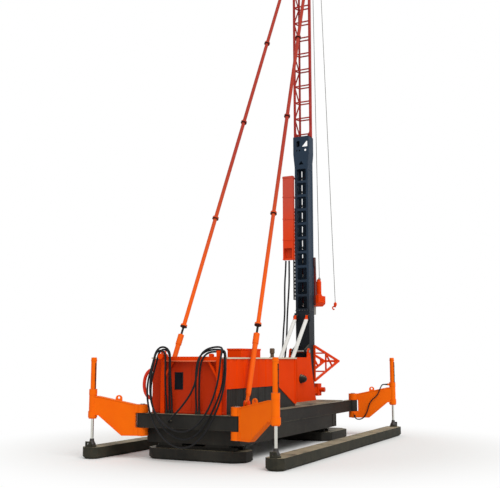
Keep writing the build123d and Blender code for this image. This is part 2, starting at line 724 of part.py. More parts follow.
# Lattice extension: four chords, lacing bars, diagonals and foot gussets
front_y = MAST_FRONT + g
n, half_lace = CHORD_T / 2, LACING_W / 2
chord_x, chord_y = (TRUSS_REAR_X - n, TRUSS_REAR_X + n), (TRUSS_REAR_Y - n, TRUSS_REAR_Y + n)
lattice = both(block(*chord_x, *chord_y, TRUSS_Z, TRUSS_TOP))
lattice += both(block(RAIL_HALF - g, RAIL_HALF + g, MAST_FRONT, MAST_FRONT + RAIL_T, TRUSS_Z, TRUSS_TOP))
lace_y = (TRUSS_REAR_Y - half_lace, TRUSS_REAR_Y + half_lace)
bays = int((TRUSS_TOP - TRUSS_Z - 200) / BAY)
for k in range(bays + 1):
    z = TRUSS_Z + FIRST_BAY + k * BAY
    lace_z = (z - half_lace, z + half_lace)
    lattice.append(block(-TRUSS_REAR_X, TRUSS_REAR_X, *lace_y, *lace_z))
    lattice.append(block(-RAIL_HALF, RAIL_HALF, front_y - half_lace, front_y + half_lace, *lace_z))
    for sx in (-1, 1):
        rear_end = (sx * TRUSS_REAR_X, TRUSS_REAR_Y, z)
        fore_end = (sx * RAIL_HALF, MAST_FRONT + 5, z)
        lattice.append(bar(rear_end, fore_end, LACING_W, LACING_W, (0, 0, 1)))
        if k < bays:
            p = (sx * TRUSS_REAR_X, TRUSS_REAR_Y, z if k % 2 else z + BAY)
            q = (sx * RAIL_HALF, MAST_FRONT + 5, z + BAY if k % 2 else z)
            lattice.append(bar(p, q, DIAGONAL_W, DIAGONAL_W, (1, 0, 0)))
gusset_x = chord_x[0] + 1
gusset_side = [(gusset_x, TRUSS_Z), (gusset_x, TRUSS_Z + GUSSET_L), (gusset_x - GUSSET_L / 2, TRUSS_Z)]
lattice += both(front(gusset_side, TRUSS_REAR_Y - GUSSET_T / 2, TRUSS_REAR_Y + GUSSET_T / 2))

# Ears for the stays near the lattice's top
tx, ty, tz = STAY_TOP
ear_in = STAY_D / 2 - 5.5
ear_out = ear_in + LUG_PLATE
ear_back = TRUSS_REAR_Y - n
ear = [drum_x(tx - ear_out - 10, tx + ear_out + 10, ty, tz, 50)]
for x0, x1 in [(tx - ear_out, tx - ear_in), (tx + ear_in, tx + ear_out)]:
    ear.append(block(x0, x1, ty, ear_back - 10, tz - 70, tz + 70))
    ear.append(drum_x(x0, x1, ty, tz, 140))
ear.append(block(chord_x[0], tx + ear_out + 10, ear_back - 30, ear_back + 5, tz - 110, tz + 110))
for piece in ear:
    lattice += both(piece)
save("mast_lattice", joined(lattice))

# Crown with its sheaves
sheave_y, sheave_z = DRILL_Y - 60, TRUSS_TOP + CROWN_T + 110
crown = block(-b - 40, b + 40, TRUSS_REAR_Y - 60, MAST_FRONT + RAIL_T, TRUSS_TOP, TRUSS_TOP + CROWN_T)
crown_side = [
    (TRUSS_REAR_Y - 60, TRUSS_TOP + CROWN_T),
    (MAST_FRONT + RAIL_T, TRUSS_TOP + CROWN_T),
    (DRILL_Y + 60, TRUSS_TOP + CROWN_T),
    (DRILL_Y + 120, TRUSS_TOP + CROWN_T + 60),
    (DRILL_Y + 120, TRUSS_TOP + CROWN_T + CROWN_H),
    (TRUSS_REAR_Y + 100, TRUSS_TOP + CROWN_T + CROWN_H),
    (TRUSS_REAR_Y - 60, TRUSS_TOP + CROWN_T + 100),
]
for x in (-2 * SHEAVE_X, 0, 2 * SHEAVE_X):
    crown += side(crown_side, x - 10, x + 10)
shaft_x = 2 * SHEAVE_X + 30
crown -= drum_x(-shaft_x - 30, shaft_x + 30, sheave_y, sheave_z, SHEAVE_SHAFT_D + 2 * RUN)
save("mast_crown", crown)
sheaves = drum_x(-shaft_x, shaft_x, sheave_y, sheave_z, SHEAVE_SHAFT_D)
half_sheave, groove = SHEAVE_W / 2, SHEAVE_W / 3
sheave = turned(
    [
        (0, -half_sheave),
        (SHEAVE_D / 2, -half_sheave),
        (SHEAVE_D / 2, -groove),
        (SHEAVE_D / 2 - groove, 0),
        (SHEAVE_D / 2, groove),
        (SHEAVE_D / 2, half_sheave),
        (0, half_sheave),
    ]
)
for x in (-SHEAVE_X, SHEAVE_X):
    sheaves += Pos(x, sheave_y, sheave_z) * Rot(0, 90, 0) * sheave
save("crown_sheaves", sheaves)

# Front bracket, two braced triangles joined at the nose
nose_y, nose_z = NOSE
root_y = MAST_FRONT - 25
root_low, root_high = BRACKET_Z
fx = m + BRACKET_T / 2


def leg_z(root_z, y):
    return root_z + (nose_z - root_z) * (y - root_y) / (nose_y - root_y)


tie_y = root_y + 0.45 * (nose_y - root_y)
strut_y = root_y + 0.72 * (nose_y - root_y)
plate_y = nose_y - NOSE_PLATE
legs = []
for x in (-fx, fx):
    leg_x = (x - BRACKET_T / 2, x + BRACKET_T / 2)
    legs.append(block(*leg_x, MAST_FRONT - 60, MAST_FRONT, root_low - 40, root_high + 40))
    for root_z in BRACKET_Z:
        legs.append(bar((x, root_y, root_z), (x, nose_y, nose_z), BRACKET_T, BRACKET_H, (1, 0, 0)))
    upper_tie = (x, tie_y, leg_z(root_high, tie_y))
    for y in (tie_y, strut_y):
        legs.append(bar(upper_tie, (x, y, leg_z(root_low, y)), BRACKET_TIE, BRACKET_TIE, (1, 0, 0)))
    nose_plate = [
        (plate_y, leg_z(root_high, plate_y)),
        (nose_y, nose_z + 20),
        (nose_y, nose_z - 20),
        (plate_y, leg_z(root_low, plate_y)),
    ]
    legs.append(side(nose_plate, x - 10, x + 10))
half_tie = BRACKET_TIE / 2
for root_z in BRACKET_Z:
    z = leg_z(root_z, tie_y)
    legs.append(block(-fx, fx, tie_y - half_tie, tie_y + half_tie, z - half_tie, z + half_tie))
legs.append(drum_x(-fx - 40, fx + 40, nose_y, nose_z, 80))
save("front_bracket", joined(legs))

# Foot clamp around the drill axis, with a ram on each side
w = CLAMP_HALF_W
clamp = block(-w, w, DRILL_Y - 220, DRILL_Y + 220, CLAMP_Z, CLAMP_Z + CLAMP_H)
clamp = fillet(clamp.edges().filter_by(Axis.Z).group_by(Axis.Y)[-1], 120)
clamp += block(-200, 200, MAST_FRONT, DRILL_Y - 200, CLAMP_Z + 80, CLAMP_Z + 300)
for ram in both(drum_x(w - 10, w + 170, DRILL_Y, CLAMP_Z + CLAMP_H / 2, CLAMP_RAM_D)):
    clamp += ram
clamp -= drum_z(0, DRILL_Y, CLAMP_Z - 1, CLAMP_Z + CLAMP_H + 1, CLAMP_BORE)
save("foot_clamp", clamp)

# Hose duct, open below, with bands and brackets to the mast's side
(x0, x1), (y0, y1), (z0, z1) = DUCT_X, DUCT_Y, DUCT_Z
duct = block(x0, x1, y0, y1, z0, z1)
for z in (z0, *DUCT_BANDS):
    duct += block(x0 - BAND_LIP, x1 + BAND_LIP, y0 - BAND_LIP, y1, z, z + BAND_H)
duct -= block(x0 + DUCT_WALL, x1 - DUCT_WALL, y0 + DUCT_WALL, y1 - DUCT_WALL, z0 - 1, z1 - DUCT_WALL)
duct -= block(x0 + 45, x1 - 45, y0 - BAND_LIP - 1, y0 + DUCT_WALL + 1, z0 + BAND_H, z0 + 410)
for z in DUCT_BANDS:
    tab_z = (z, z + BAND_H)
    duct += block(x0 + 230, x0 + 305, y1 - 10, recess_y[0] + 110, *tab_z)
    duct += block(x0 + 230, -m + SIDE_RECESS, recess_y[0] + 60, recess_y[0] + 110, *tab_z)
save("hose_duct", duct)
chain_y = (MAST_REAR + 5, MAST_REAR + 5 + CHAIN_W)
chain = block(-m - CHAIN_W, -m, *chain_y, *CHAIN_Z)
links = int((CHAIN_Z[1] - CHAIN_Z[0]) / CHAIN_PITCH)
for k in range(links):
    z = CHAIN_Z[0] + k * CHAIN_PITCH
    chain -= block(-m - CHAIN_W + 18, -m - 18, chain_y[0] - 1, chain_y[1] + 1, z + 35, z + CHAIN_PITCH - 15)
save("drag_chain", chain)

# Rotary head: carriage on the rails, gearbox, two motors, spindle with swivel
plate_y0 = MAST_FRONT + RAIL_T + CARRIAGE_GAP
plate_y1 = plate_y0 + CARRIAGE_T
half_c = CARRIAGE_W / 2
carriage = block(-half_c, half_c, plate_y0, plate_y1, HEAD_Z, HEAD_Z + CARRIAGE_H)
shoe_x = (RAIL_HALF + g + RUN, half_c)
for z0 in (HEAD_Z + 30, HEAD_Z + CARRIAGE_H - 330):
    for slider in both(block(*shoe_x, MAST_FRONT + 8, plate_y0 + 1, z0, z0 + 300)):
        carriage += slider
rib_side = [
    (plate_y1 - 1, HEAD_Z + GEAR_H),
    (plate_y1 + 110, HEAD_Z + GEAR_H),
    (plate_y1 + 40, HEAD_Z + CARRIAGE_H),
    (plate_y1 - 1, HEAD_Z + CARRIAGE_H),
]
for rib in both(side(rib_side, half_c - 30, half_c)):
    carriage += rib
save("head_carriage", carriage)
gear_side = [
    (-GEAR_HALF_W, HEAD_Z + 120),
    (-GEAR_HALF_W + 140, HEAD_Z),
    (GEAR_HALF_W - 140, HEAD_Z),
    (GEAR_HALF_W, HEAD_Z + 120),
    (GEAR_HALF_W, HEAD_Z + GEAR_H),
    (-GEAR_HALF_W, HEAD_Z + GEAR_H),
]
gear = front(gear_side, plate_y1, DRILL_Y + 300)
gear = fillet(gear.edges().filter_by(Axis.Z).group_by(Axis.Y)[-1], 90)
gear -= drum_z(0, DRILL_Y, HEAD_Z - 1, HEAD_Z + GEAR_H + 1, SPINDLE_D + 2 * RUN)
save("head_gearbox", gear)
motor_r = MOTOR_D / 2
motor = turned(
    [
        (0, 0),
        (motor_r + 20, 0),
        (motor_r + 20, 50),
        (motor_r, 70),
        (motor_r, MOTOR_H - 90),
        (motor_r - 18, MOTOR_H - 70),
        (motor_r - 18, MOTOR_H - 15),
        (motor_r - 33, MOTOR_H),
        (0, MOTOR_H),
    ]
)
save("head_motors", *both(Pos(MOTOR_X, DRILL_Y, HEAD_Z + GEAR_H) * motor))
shaft_r, swivel_r, socket_r = SPINDLE_D / 2, SWIVEL_D / 2, SOCKET_D / 2
hub_r = socket_r + 45
spindle = turned(
    [
        (0, SOCKET_DEPTH - 300),
        (socket_r, SOCKET_DEPTH - 300),
        (socket_r, -300),
        (hub_r - 12, -300),
        (hub_r, -288),
        (hub_r, -8),
        (shaft_r, -8),
        (shaft_r, GEAR_H + 8),
        (swivel_r, GEAR_H + 8),
        (swivel_r, GEAR_H + 260),
        (shaft_r, GEAR_H + 300),
        (shaft_r, GEAR_H + 350),
        (0, GEAR_H + 350),
    ]
)
save("head_spindle", Pos(0, DRILL_Y, HEAD_Z) * spindle)

# Tilt cylinders from the mast's clevises down to the deck
top, foot = (CYL_X, CYL_TOP_Y, CYL_TOP_Z), (CYL_X, CYL_FOOT_Y, CYL_FOOT_Z)
reach = (Vector(*foot) - Vector(*top)).length
down = along(top, foot, (1, 0, 0))
half_eye = EYE_T / 2
pin_hole = EYE_PIN_D + 2 * RUN
tube = drum_x(CYL_X - half_eye, CYL_X + half_eye, CYL_TOP_Y, CYL_TOP_Z, CYL_D)
tube += down * Box(EYE_T, 90, 160, align=LOW)
tube += down * Pos(0, 0, 140) * Cylinder(CYL_D / 2, CYL_TUBE, align=LOW)
tube += down * Pos(0, 0, 60 + CYL_TUBE) * Cylinder(CYL_GLAND_D / 2, 160, align=LOW)
tube -= drum_x(CYL_X - EYE_T, CYL_X + EYE_T, CYL_TOP_Y, CYL_TOP_Z, pin_hole)
tube -= down * Pos(0, 0, 180) * Cylinder(RAM_D / 2 + RUN, CYL_TUBE + 140, align=LOW)
save("tilt_barrels", *both(tube))
ram = down * Pos(0, 0, 1400) * Cylinder(RAM_D / 2, reach - 1520, align=LOW)
ram += down * Pos(0, 0, reach - 140) * Box(EYE_T - 10, 90, 140, align=LOW)
ram += drum_x(CYL_X - half_eye + 2, CYL_X + half_eye - 2, CYL_FOOT_Y, CYL_FOOT_Z, CYL_GLAND_D)
ram -= drum_x(CYL_X - EYE_T, CYL_X + EYE_T, CYL_FOOT_Y, CYL_FOOT_Z, pin_hole + 1.4)
save("tilt_rods", *both(ram))

# Stays with screw adjusters, from the deck's edge to the lattice
fx0, fy0, fz0 = STAY_FOOT
length = (Vector(*STAY_TOP) - Vector(*STAY_FOOT)).length
up = along(STAY_FOOT, STAY_TOP, (1, 0, 0))
tube_r, sleeve_r, screw_r = STAY_TUBE_D / 2, STAY_SLEEVE_D / 2, STAY_SCREW_D / 2
stay_eye = STAY_D / 2 - 27.5
stay_foot = drum_x(fx0 - stay_eye, fx0 + stay_eye, fy0, fz0, 150)
stay_foot += up * Box(2 * stay_eye - 4, 100, 220, align=LOW)
stay_foot += up * turned(
    [
        (0, 190),
        (tube_r - 25, 190),
        (tube_r, 260),
        (tube_r, STAY_TUBE_END),
        (sleeve_r, STAY_TUBE_END + 30),
        (sleeve_r, STAY_SLEEVE_END),
        (screw_r + RUN, STAY_SLEEVE_END),
        (screw_r + RUN, STAY_TUBE_END - 470),
        (0, STAY_TUBE_END - 470),
    ]
)
stay_foot -= drum_x(fx0 - 60, fx0 + 60, fy0, fz0, pin_hole)
save("stay_feet", *both(stay_foot))
flange_r, pipe_r = STAY_FLANGE_D / 2, STAY_D / 2
screw_start = STAY_TUBE_END - 170
screw_length = STAY_PIPE_START + 10 - screw_start
stay = up * Pos(0, 0, screw_start) * Cylinder(screw_r, screw_length, align=LOW)
stay += up * Pos(0, 0, STAY_PIPE_START) * Cylinder(pipe_r, length - STAY_PIPE_START - 200, align=LOW)
stay += up * Pos(0, 0, length - 240) * Box(2 * stay_eye - 4, 110, 240, align=LOW)
for s in (STAY_PIPE_START, *(share * length for share in STAY_FLANGES)):
    stay += up * Pos(0, 0, s) * Cylinder(flange_r, 60, align=LOW)
stay += drum_x(tx - stay_eye - 2, tx + stay_eye + 2, ty, tz, 170)
stay -= drum_x(tx - 50, tx + 50, ty, tz, 64)
save("stay_pipe_right", stay)
save("stay_pipe_left", mirror(stay, Plane.YZ))

# Deck brackets under the stays and the cylinders' rod eyes
seat_in = stay_eye + 8
stay_seat = drum_x(fx0 - seat_in - 34, fx0 + seat_in + 34, fy0, fz0, EYE_PIN_D)
for x0, x1 in [(fx0 - seat_in - 24, fx0 - seat_in), (fx0 + seat_in, fx0 + seat_in + 24)]:
    stay_seat += side([(fy0 - 130, DECK_Z), (fy0 + 130, DECK_Z), (fy0 + 80, fz0), (fy0 - 80, fz0)], x0, x1)
    stay_seat += drum_x(x0, x1, fy0, fz0, 160)
ram_in = half_eye + 6
ram_seat = block(CYL_X - 90, CYL_X + 90, CYL_FOOT_Y - 130, CYL_FOOT_Y + 130, floor, floor + 25)
for x0, x1 in [(CYL_X - ram_in - 24, CYL_X - ram_in), (CYL_X + ram_in, CYL_X + ram_in + 24)]:
    ram_seat += block(x0, x1, CYL_FOOT_Y - 70, CYL_FOOT_Y + 70, floor + 25, CYL_FOOT_Z)
    ram_seat += drum_x(x0, x1, CYL_FOOT_Y, CYL_FOOT_Z, 140)
ram_seat += drum_x(CYL_X - ram_in - 34, CYL_X + ram_in + 34, CYL_FOOT_Y, CYL_FOOT_Z, EYE_PIN_D)
save("deck_brackets", *both(stay_seat), *both(ram_seat))

# Rear hoses: up the left arch, a swag behind the platform, over the right arch
save(
    "hose_line_1",
    hose(
        [
            (-520, -4500, floor),
            (-520, -4500, 1420),
            (-505, -4540, 1700),
            (-485, -4590, 2050),
            (-472, -4612, 2360),
            (-462, -4620, 2570),
            (-468, -4622, 2745),
            (-563, -4622, 2842),
            (-697, -4624, 2842),
            (-792, -4628, 2745),
            (-838, -4632, 2560),
            (-898, -4640, 2350),
            (-965, -4646, 2120),
            (-1008, -4650, 1860),
            (-992, -4650, 1560),
            (-900, -4650, 1250),
            (-740, -4650, 990),
            (-520, -4650, 770),
            (-260, -4650, 620),
            (20, -4650, 565),
            (290, -4650, 640),
            (520, -4650, 830),
            (720, -4650, 1100),
            (885, -4650, 1390),
            (1020, -4650, 1670),
            (1112, -4650, 1960),
            (1160, -4645, 2260),
            (1150, -4612, 2520),
            (1105, -4510, 2715),
            (1002, -4385, 2800),
            (855, -4332, 2825),
            (710, -4410, 2825),
            (592, -4530, 2770),
            (502, -4605, 2600),
            (452, -4625, 2370),
            (428, -4612, 2080),
            (408, -4582, 1800),
            (382, -4540, 1560),
            (366, -4500, 1390),
            (366, -4500, floor),
        ],
        HOSE_D,
    ),
)
save(
    "hose_line_2",
    hose(
        [
            (-440, -4505, floor),
            (-440, -4505, 1430),
            (-430, -4562, 1720),
            (-415, -4630, 2060),
            (-408, -4668, 2370),
            (-405, -4678, 2590),
            (-415, -4682, 2779),
            (-541, -4682, 2905),
            (-719, -4684, 2905),
            (-845, -4690, 2779),
            (-902, -4698, 2560),
            (-975, -4704, 2320),
            (-1048, -4708, 2070),
            (-1080, -4710, 1800),
            (-1060, -4710, 1520),
            (-972, -4710, 1170),
            (-810, -4710, 860),
            (-590, -4710, 610),
            (-320, -4710, 430),
            (-20, -4710, 360),
            (280, -4710, 430),
            (540, -4710, 630),
            (760, -4710, 910),
            (940, -4710, 1230),
            (1085, -4710, 1550),
            (1185, -4710, 1890),
            (1230, -4704, 2220),
            (1215, -4672, 2520),
            (1150, -4560, 2750),
            (1020, -4410, 2865),
            (852, -4335, 2905),
            (682, -4405, 2905),
            (532, -4560, 2830),
            (432, -4665, 2630),
            (378, -4686, 2370),
            (352, -4662, 2060),
            (328, -4612, 1770),
            (302, -4552, 1550),
            (286, -4505, 1390),
            (286, -4505, floor),
        ],
        HOSE_D,
    ),
)
save(
    "hose_line_3",
    hose(
        [
            (-598, -4510, floor),
            (-598, -4510, 1430),
            (-586, -4590, 1720),
            (-548, -4680, 2040),
            (-518, -4732, 2340),
            (-506, -4744, 2550),
            (-510, -4746, 2727),
            (-598, -4746, 2815),
            (-722, -4748, 2815),
            (-810, -4750, 2727),
            (-852, -4756, 2540),
            (-900, -4762, 2320),
            (-942, -4768, 2080),
            (-955, -4770, 1800),
            (-905, -4770, 1480),
            (-780, -4770, 1220),
            (-590, -4770, 1010),
            (-350, -4770, 850),
            (-70, -4770, 770),
            (200, -4770, 800),
            (450, -4770, 940),
            (660, -4770, 1170),
            (830, -4770, 1440),
            (960, -4770, 1740),
            (1050, -4768, 2050),
            (1085, -4745, 2360),
            (1068, -4665, 2630),
            (1036, -4530, 2840),
            (968, -4395, 2960),
            (845, -4325, 3000),
            (700, -4390, 2985),
            (585, -4540, 2925),
            (515, -4680, 2760),
            (470, -4748, 2520),
            (440, -4758, 2230),
            (385, -4758, 1970),
            (265, -4762, 1720),
            (90, -4772, 1490),
            (-55, -4788, 1325),
            (-190, -4800, 1195),
            (-340, -4790, 1060),
            (-440, -4700, 1005),
            (-440, PLATFORM_REAR + FLANGE_LIP, 1005),
        ],
        HOSE_D,
    ),
)

# Red hose in a bow on the house's left wall
save(
    "hose_line_red",
    hose(
        [
            (-HOUSE_HALF_W, -4200, 2340),
            (-1215, -4200, 2340),
            (-1330, -4208, 2285),
            (-1415, -4215, 2180),
            (-1458, -4220, 2030),
            (-1462, -4222, 1860),
            (-1420, -4218, 1705),
            (-1325, -4210, 1595),
            (-1210, -4200, 1545),
            (-wall_in - SKIRT_RIB_T, -4200, 1545),
        ],
        RED_HOSE_D,
    ),
)

# Hose hanging on the front right arm, from the jack's collar to the arm's hinge end
arm_place = Pos(ARM_PIN_X, ARM_PIN_Y, 0) * Rot(0, 0, ARM_SPLAY)
arm_hose = hose(
    [
        (ARM_LENGTH - VALVE_REACH, 0, VALVE_Z),
        (ARM_LENGTH - VALVE_REACH - 90, 0, VALVE_Z),
        (1020, -75, VALVE_Z),
        (965, -140, 1665),
        (915, -165, 1555),
        (865, -165, 1425),
        (785, -160, 1315),
        (660, -160, 1225),
        (560, -160, 1090),
        (505, -160, 910),
        (450, -158, 745),
        (370, -150, 625),
        (280, -145, 560),
        (180, -145, 540),
        (100, -160, 560),
        (PORT_R, -180, 615),
        (PORT_R, -180, PORT_Z),
    ],
    ARM_HOSE_D,
)
save("hose_line_arm", arm_place * arm_hose)

# Mast hoses from the deck up to the duct's open end
save(
    "mast_line_1",
    hose(
        [
            (-575, 3195, DUCT_Z[0] - 25),
            (-585, 3185, 5650),
            (-606, 3155, 5250),
            (-590, 3100, 4720),
            (-570, 3060, 4150),
            (-598, 2995, 3560),
            (-585, 2900, 2980),
            (-560, 2760, 2430),
            (-565, 2610, 1960),
            (-590, 2490, 1590),
            (-590, 2490, floor),
        ],
        MAST_HOSE_D,
    ),
)
save(
    "mast_line_2",
    hose(
        [
            (-450, 3195, DUCT_Z[0] - 25),
            (-446, 3182, 5640),
            (-432, 3145, 5230),
            (-440, 3080, 4700),
            (-462, 3030, 4130),
            (-450, 2955, 3540),
            (-440, 2850, 2960),
            (-455, 2710, 2410),
            (-460, 2565, 1950),
            (-445, 2455, 1590),
            (-445, 2455, floor),
        ],
        MAST_HOSE_D,
    ),
)
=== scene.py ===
import json
import math

import bpy
from mathutils import Matrix, Vector


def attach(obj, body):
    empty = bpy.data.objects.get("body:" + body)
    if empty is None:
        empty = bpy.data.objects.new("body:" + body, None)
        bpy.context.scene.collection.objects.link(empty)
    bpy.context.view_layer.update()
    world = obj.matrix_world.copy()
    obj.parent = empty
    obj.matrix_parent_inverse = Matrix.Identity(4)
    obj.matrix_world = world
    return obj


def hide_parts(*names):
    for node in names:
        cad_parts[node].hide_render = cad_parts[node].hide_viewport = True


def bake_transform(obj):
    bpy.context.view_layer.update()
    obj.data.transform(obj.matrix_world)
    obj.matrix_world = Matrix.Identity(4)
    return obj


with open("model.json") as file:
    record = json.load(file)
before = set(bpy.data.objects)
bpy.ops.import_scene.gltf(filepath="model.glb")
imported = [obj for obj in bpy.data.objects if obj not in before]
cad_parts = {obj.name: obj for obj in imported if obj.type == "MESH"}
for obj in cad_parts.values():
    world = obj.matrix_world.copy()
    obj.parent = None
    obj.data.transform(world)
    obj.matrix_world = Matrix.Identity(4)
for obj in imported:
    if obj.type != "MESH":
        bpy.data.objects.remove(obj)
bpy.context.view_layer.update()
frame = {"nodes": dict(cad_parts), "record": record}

NODES = frame["nodes"]

# Camera at the photograph's viewing angle, in metres and radians
CAMERA_PLACE = (10.679, -22.482, 2.6)
CAMERA_YAW = -0.4583
CAMERA_PITCH = 0.14285
FOCAL_PIXELS = 798.86
PICTURE_WIDTH = 500
SENSOR = 36.0


def make_camera():
    data = bpy.data.cameras.new("camera")
    data.sensor_width = SENSOR
    data.lens = FOCAL_PIXELS / PICTURE_WIDTH * SENSOR
    data.clip_end = 200
    camera = bpy.data.objects.new("camera", data)
    camera.location = CAMERA_PLACE
    camera.rotation_euler = (math.pi / 2 + CAMERA_PITCH, 0, -CAMERA_YAW)
    bpy.context.scene.collection.objects.link(camera)
    bpy.context.scene.camera = camera


make_camera()


# Colours and node helpers
def srgb(r, g, b):
    shares = [c / 255 for c in (r, g, b)]
    return tuple(c / 12.92 if c < 0.0405 else ((c + 0.055) / 1.055) ** 2.4 for c in shares) + (1,)


class Graph:
    """A material's nodes, added in the order that light reads them."""

    def __init__(self, name):
        self.material = bpy.data.materials.new(name)
        self.material.use_nodes = True
        self.nodes = self.material.node_tree.nodes
        self.links = self.material.node_tree.links
        self.shader = self.nodes["Principled BSDF"]
        self.place = self.add("ShaderNodeTexCoord").outputs["Object"]

    def add(self, kind, **inputs):
        made = self.nodes.new(kind)
        for key, value in inputs.items():
            self.put(made.inputs[key.replace("_", " ")], value)
        return made

    def put(self, socket, value):
        if isinstance(value, bpy.types.NodeSocket):
            self.links.new(value, socket)
        else:
            socket.default_value = value

    def noise(self, scale, detail=4.0, rough=0.6, stretch=(1, 1, 1)):
        moved = self.add("ShaderNodeMapping", Vector=self.place, Scale=stretch)
        made = self.add("ShaderNodeTexNoise", Vector=moved.outputs[0],
                        Scale=scale, Detail=detail, Roughness=rough)
        return made.outputs["Fac"]

    def ramp(self, value, low, high, out_low=0.0, out_high=1.0):
        made = self.add("ShaderNodeMapRange", Value=value, From_Min=low, From_Max=high,
                        To_Min=out_low, To_Max=out_high)
        made.interpolation_type = "SMOOTHSTEP"
        return made.outputs[0]

    def math(self, kind, a, b):
        made = self.nodes.new("ShaderNodeMath")
        made.operation = kind
        made.use_clamp = True
        self.put(made.inputs[0], a)
        self.put(made.inputs[1], b)
        return made.outputs[0]

    def mix(self, share, a, b):
        made = self.nodes.new("ShaderNodeMix")
        made.data_type = "RGBA"
        self.put(made.inputs["Factor"], share)
        self.put(made.inputs["A"], a)
        self.put(made.inputs["B"], b)
        return made.outputs["Result"]

    def axis(self, source, which):
        return self.add("ShaderNodeSeparateXYZ", Vector=source).outputs[which]

    def height(self, low, high):
        return self.ramp(self.axis(self.place, "Z"), low, high)

    def upward(self):
        return self.axis(self.add("ShaderNodeNewGeometry").outputs["Normal"], "Z")

    def edges(self, radius):
        bevel = self.add("ShaderNodeBevel", Radius=radius)
        flat = self.add("ShaderNodeNewGeometry").outputs["Normal"]
        dot = self.nodes.new("ShaderNodeVectorMath")
        dot.operation = "DOT_PRODUCT"
        self.put(dot.inputs[0], bevel.outputs[0])
        self.put(dot.inputs[1], flat)
        return self.ramp(dot.outputs["Value"], 0.995, 0.9)

    def bump(self, height, strength, distance, edge=0.006):
        rounded = self.add("ShaderNodeBevel", Radius=edge)
        made = self.add("ShaderNodeBump", Height=height, Strength=strength, Distance=distance)
        self.put(made.inputs["Normal"], rounded.outputs[0])
        self.put(self.shader.inputs["Normal"], made.outputs[0])

    def gloss(self, level):
        self.shader.inputs["Specular IOR Level"].default_value = level


DUST = srgb(178, 166, 138)
MUD = srgb(92, 82, 66)
SOOT = srgb(38, 34, 31)
CHIPPED = 0.3


def paint(name, colour, faded, rough=0.42, dust=0.3, mud=0.0, high=(), gloss=0.06):
    """Sprayed enamel: faded patches, drip streaks, dust on what faces up, mud low down, chipped edges.

    A piece of several colours has them in high, each with the heights between which it sets in."""
    g = Graph(name)
    base = g.mix(g.ramp(g.noise(0.9, 3), 0.35, 0.7), colour, faded)
    for low, top, above in high:
        base = g.mix(g.height(low, top), base, above)
    streak = g.ramp(g.noise(9, 3, 0.7, (1, 1, 0.06)), 0.55, 0.8)
    base = g.mix(g.math("MULTIPLY", streak, 0.2), base, g.mix(0.6, base, MUD))
    worn = g.math("MULTIPLY", g.edges(0.012), g.ramp(g.noise(7, 6, 0.75), 0.5, 0.62))
    base = g.mix(g.math("MULTIPLY", worn, CHIPPED), base, SOOT)
    lying = g.math("MULTIPLY", g.ramp(g.upward(), 0.35, 0.95), g.ramp(g.noise(2.2, 6, 0.7), 0.2, 0.6))
    base = g.mix(g.math("MULTIPLY", lying, dust), base, DUST)
    if mud:
        low = g.math("MULTIPLY", g.height(0.9, 0.05), g.ramp(g.noise(3.1, 7, 0.72), 0.4, 0.75))
        base = g.mix(g.math("MULTIPLY", low, mud), base, MUD)
    g.put(g.shader.inputs["Base Color"], base)
    g.put(g.shader.inputs["Roughness"], g.ramp(g.noise(26, 5, 0.75), 0.2, 0.8, rough - 0.08, rough + 0.14))
    g.gloss(gloss)
    g.bump(g.noise(60, 2), 0.12, 0.002)
    return g.material


def metal(name, colour, rough, grime, stretch, foot=None):
    """Bare or plated steel: fine turning or rolling lines, grease in patches,
    and a painted foot where it has one."""
    g = Graph(name)
    lines = g.noise(14, 4, 0.6, stretch)
    dirty = g.ramp(g.noise(4, 6, 0.7), 0.45, 0.75)
    base = g.mix(g.math("MULTIPLY", dirty, grime), colour, MUD)
    rough_here = g.ramp(lines, 0.3, 0.7, rough - 0.05, rough + 0.12)
    g.shader.inputs["Metallic"].default_value = 1.0
    if foot:
        above = g.height(foot - 0.004, foot + 0.004)
        base = g.mix(above, SOOT, base)
        g.put(g.shader.inputs["Metallic"], above)
        rough_here = g.math("MAXIMUM", rough_here, g.ramp(above, 0, 1, 0.55, 0.0))
    g.put(g.shader.inputs["Base Color"], base)
    g.put(g.shader.inputs["Roughness"], rough_here)
    g.bump(lines, 0.08, 0.001, 0.003)
    return g.material


def rubber(name, colour, dusted, rough, bloom):
    """Hose cover: a dusty bloom in patches over fine wrap marks."""
    g = Graph(name)
    patches = g.ramp(g.noise(5, 6, 0.7), 0.45, 0.8)
    g.put(g.shader.inputs["Base Color"], g.mix(g.math("MULTIPLY", patches, bloom), colour, dusted))
    g.put(g.shader.inputs["Roughness"], g.ramp(g.noise(30, 3), 0.2, 0.8, rough - 0.06, rough + 0.14))
    g.gloss(0.22)
    g.bump(g.noise(90, 2), 0.2, 0.001, 0.002)
    return g.material


def tread(name, colour):
    """Deck plate: raised diamonds under trodden dust."""
    g = Graph(name)
    turned = g.add("ShaderNodeMapping", Vector=g.place, Rotation=(0, 0, math.radians(45)), Scale=(26, 26, 26))
    checks = g.add("ShaderNodeTexVoronoi", Vector=turned.outputs[0], Randomness=0.0)
    raised = g.ramp(checks.outputs["Distance"], 0.45, 0.3)
    trodden = g.ramp(g.noise(1.4, 7, 0.7), 0.3, 0.62)
    base = g.mix(g.math("MULTIPLY", trodden, 0.85), colour, DUST)
    base = g.mix(g.math("MULTIPLY", raised, 0.25), base, colour)
    g.put(g.shader.inputs["Base Color"], base)
    g.shader.inputs["Roughness"].default_value = 0.7
    g.gloss(0.15)
    g.bump(raised, 0.5, 0.004)
    return g.material


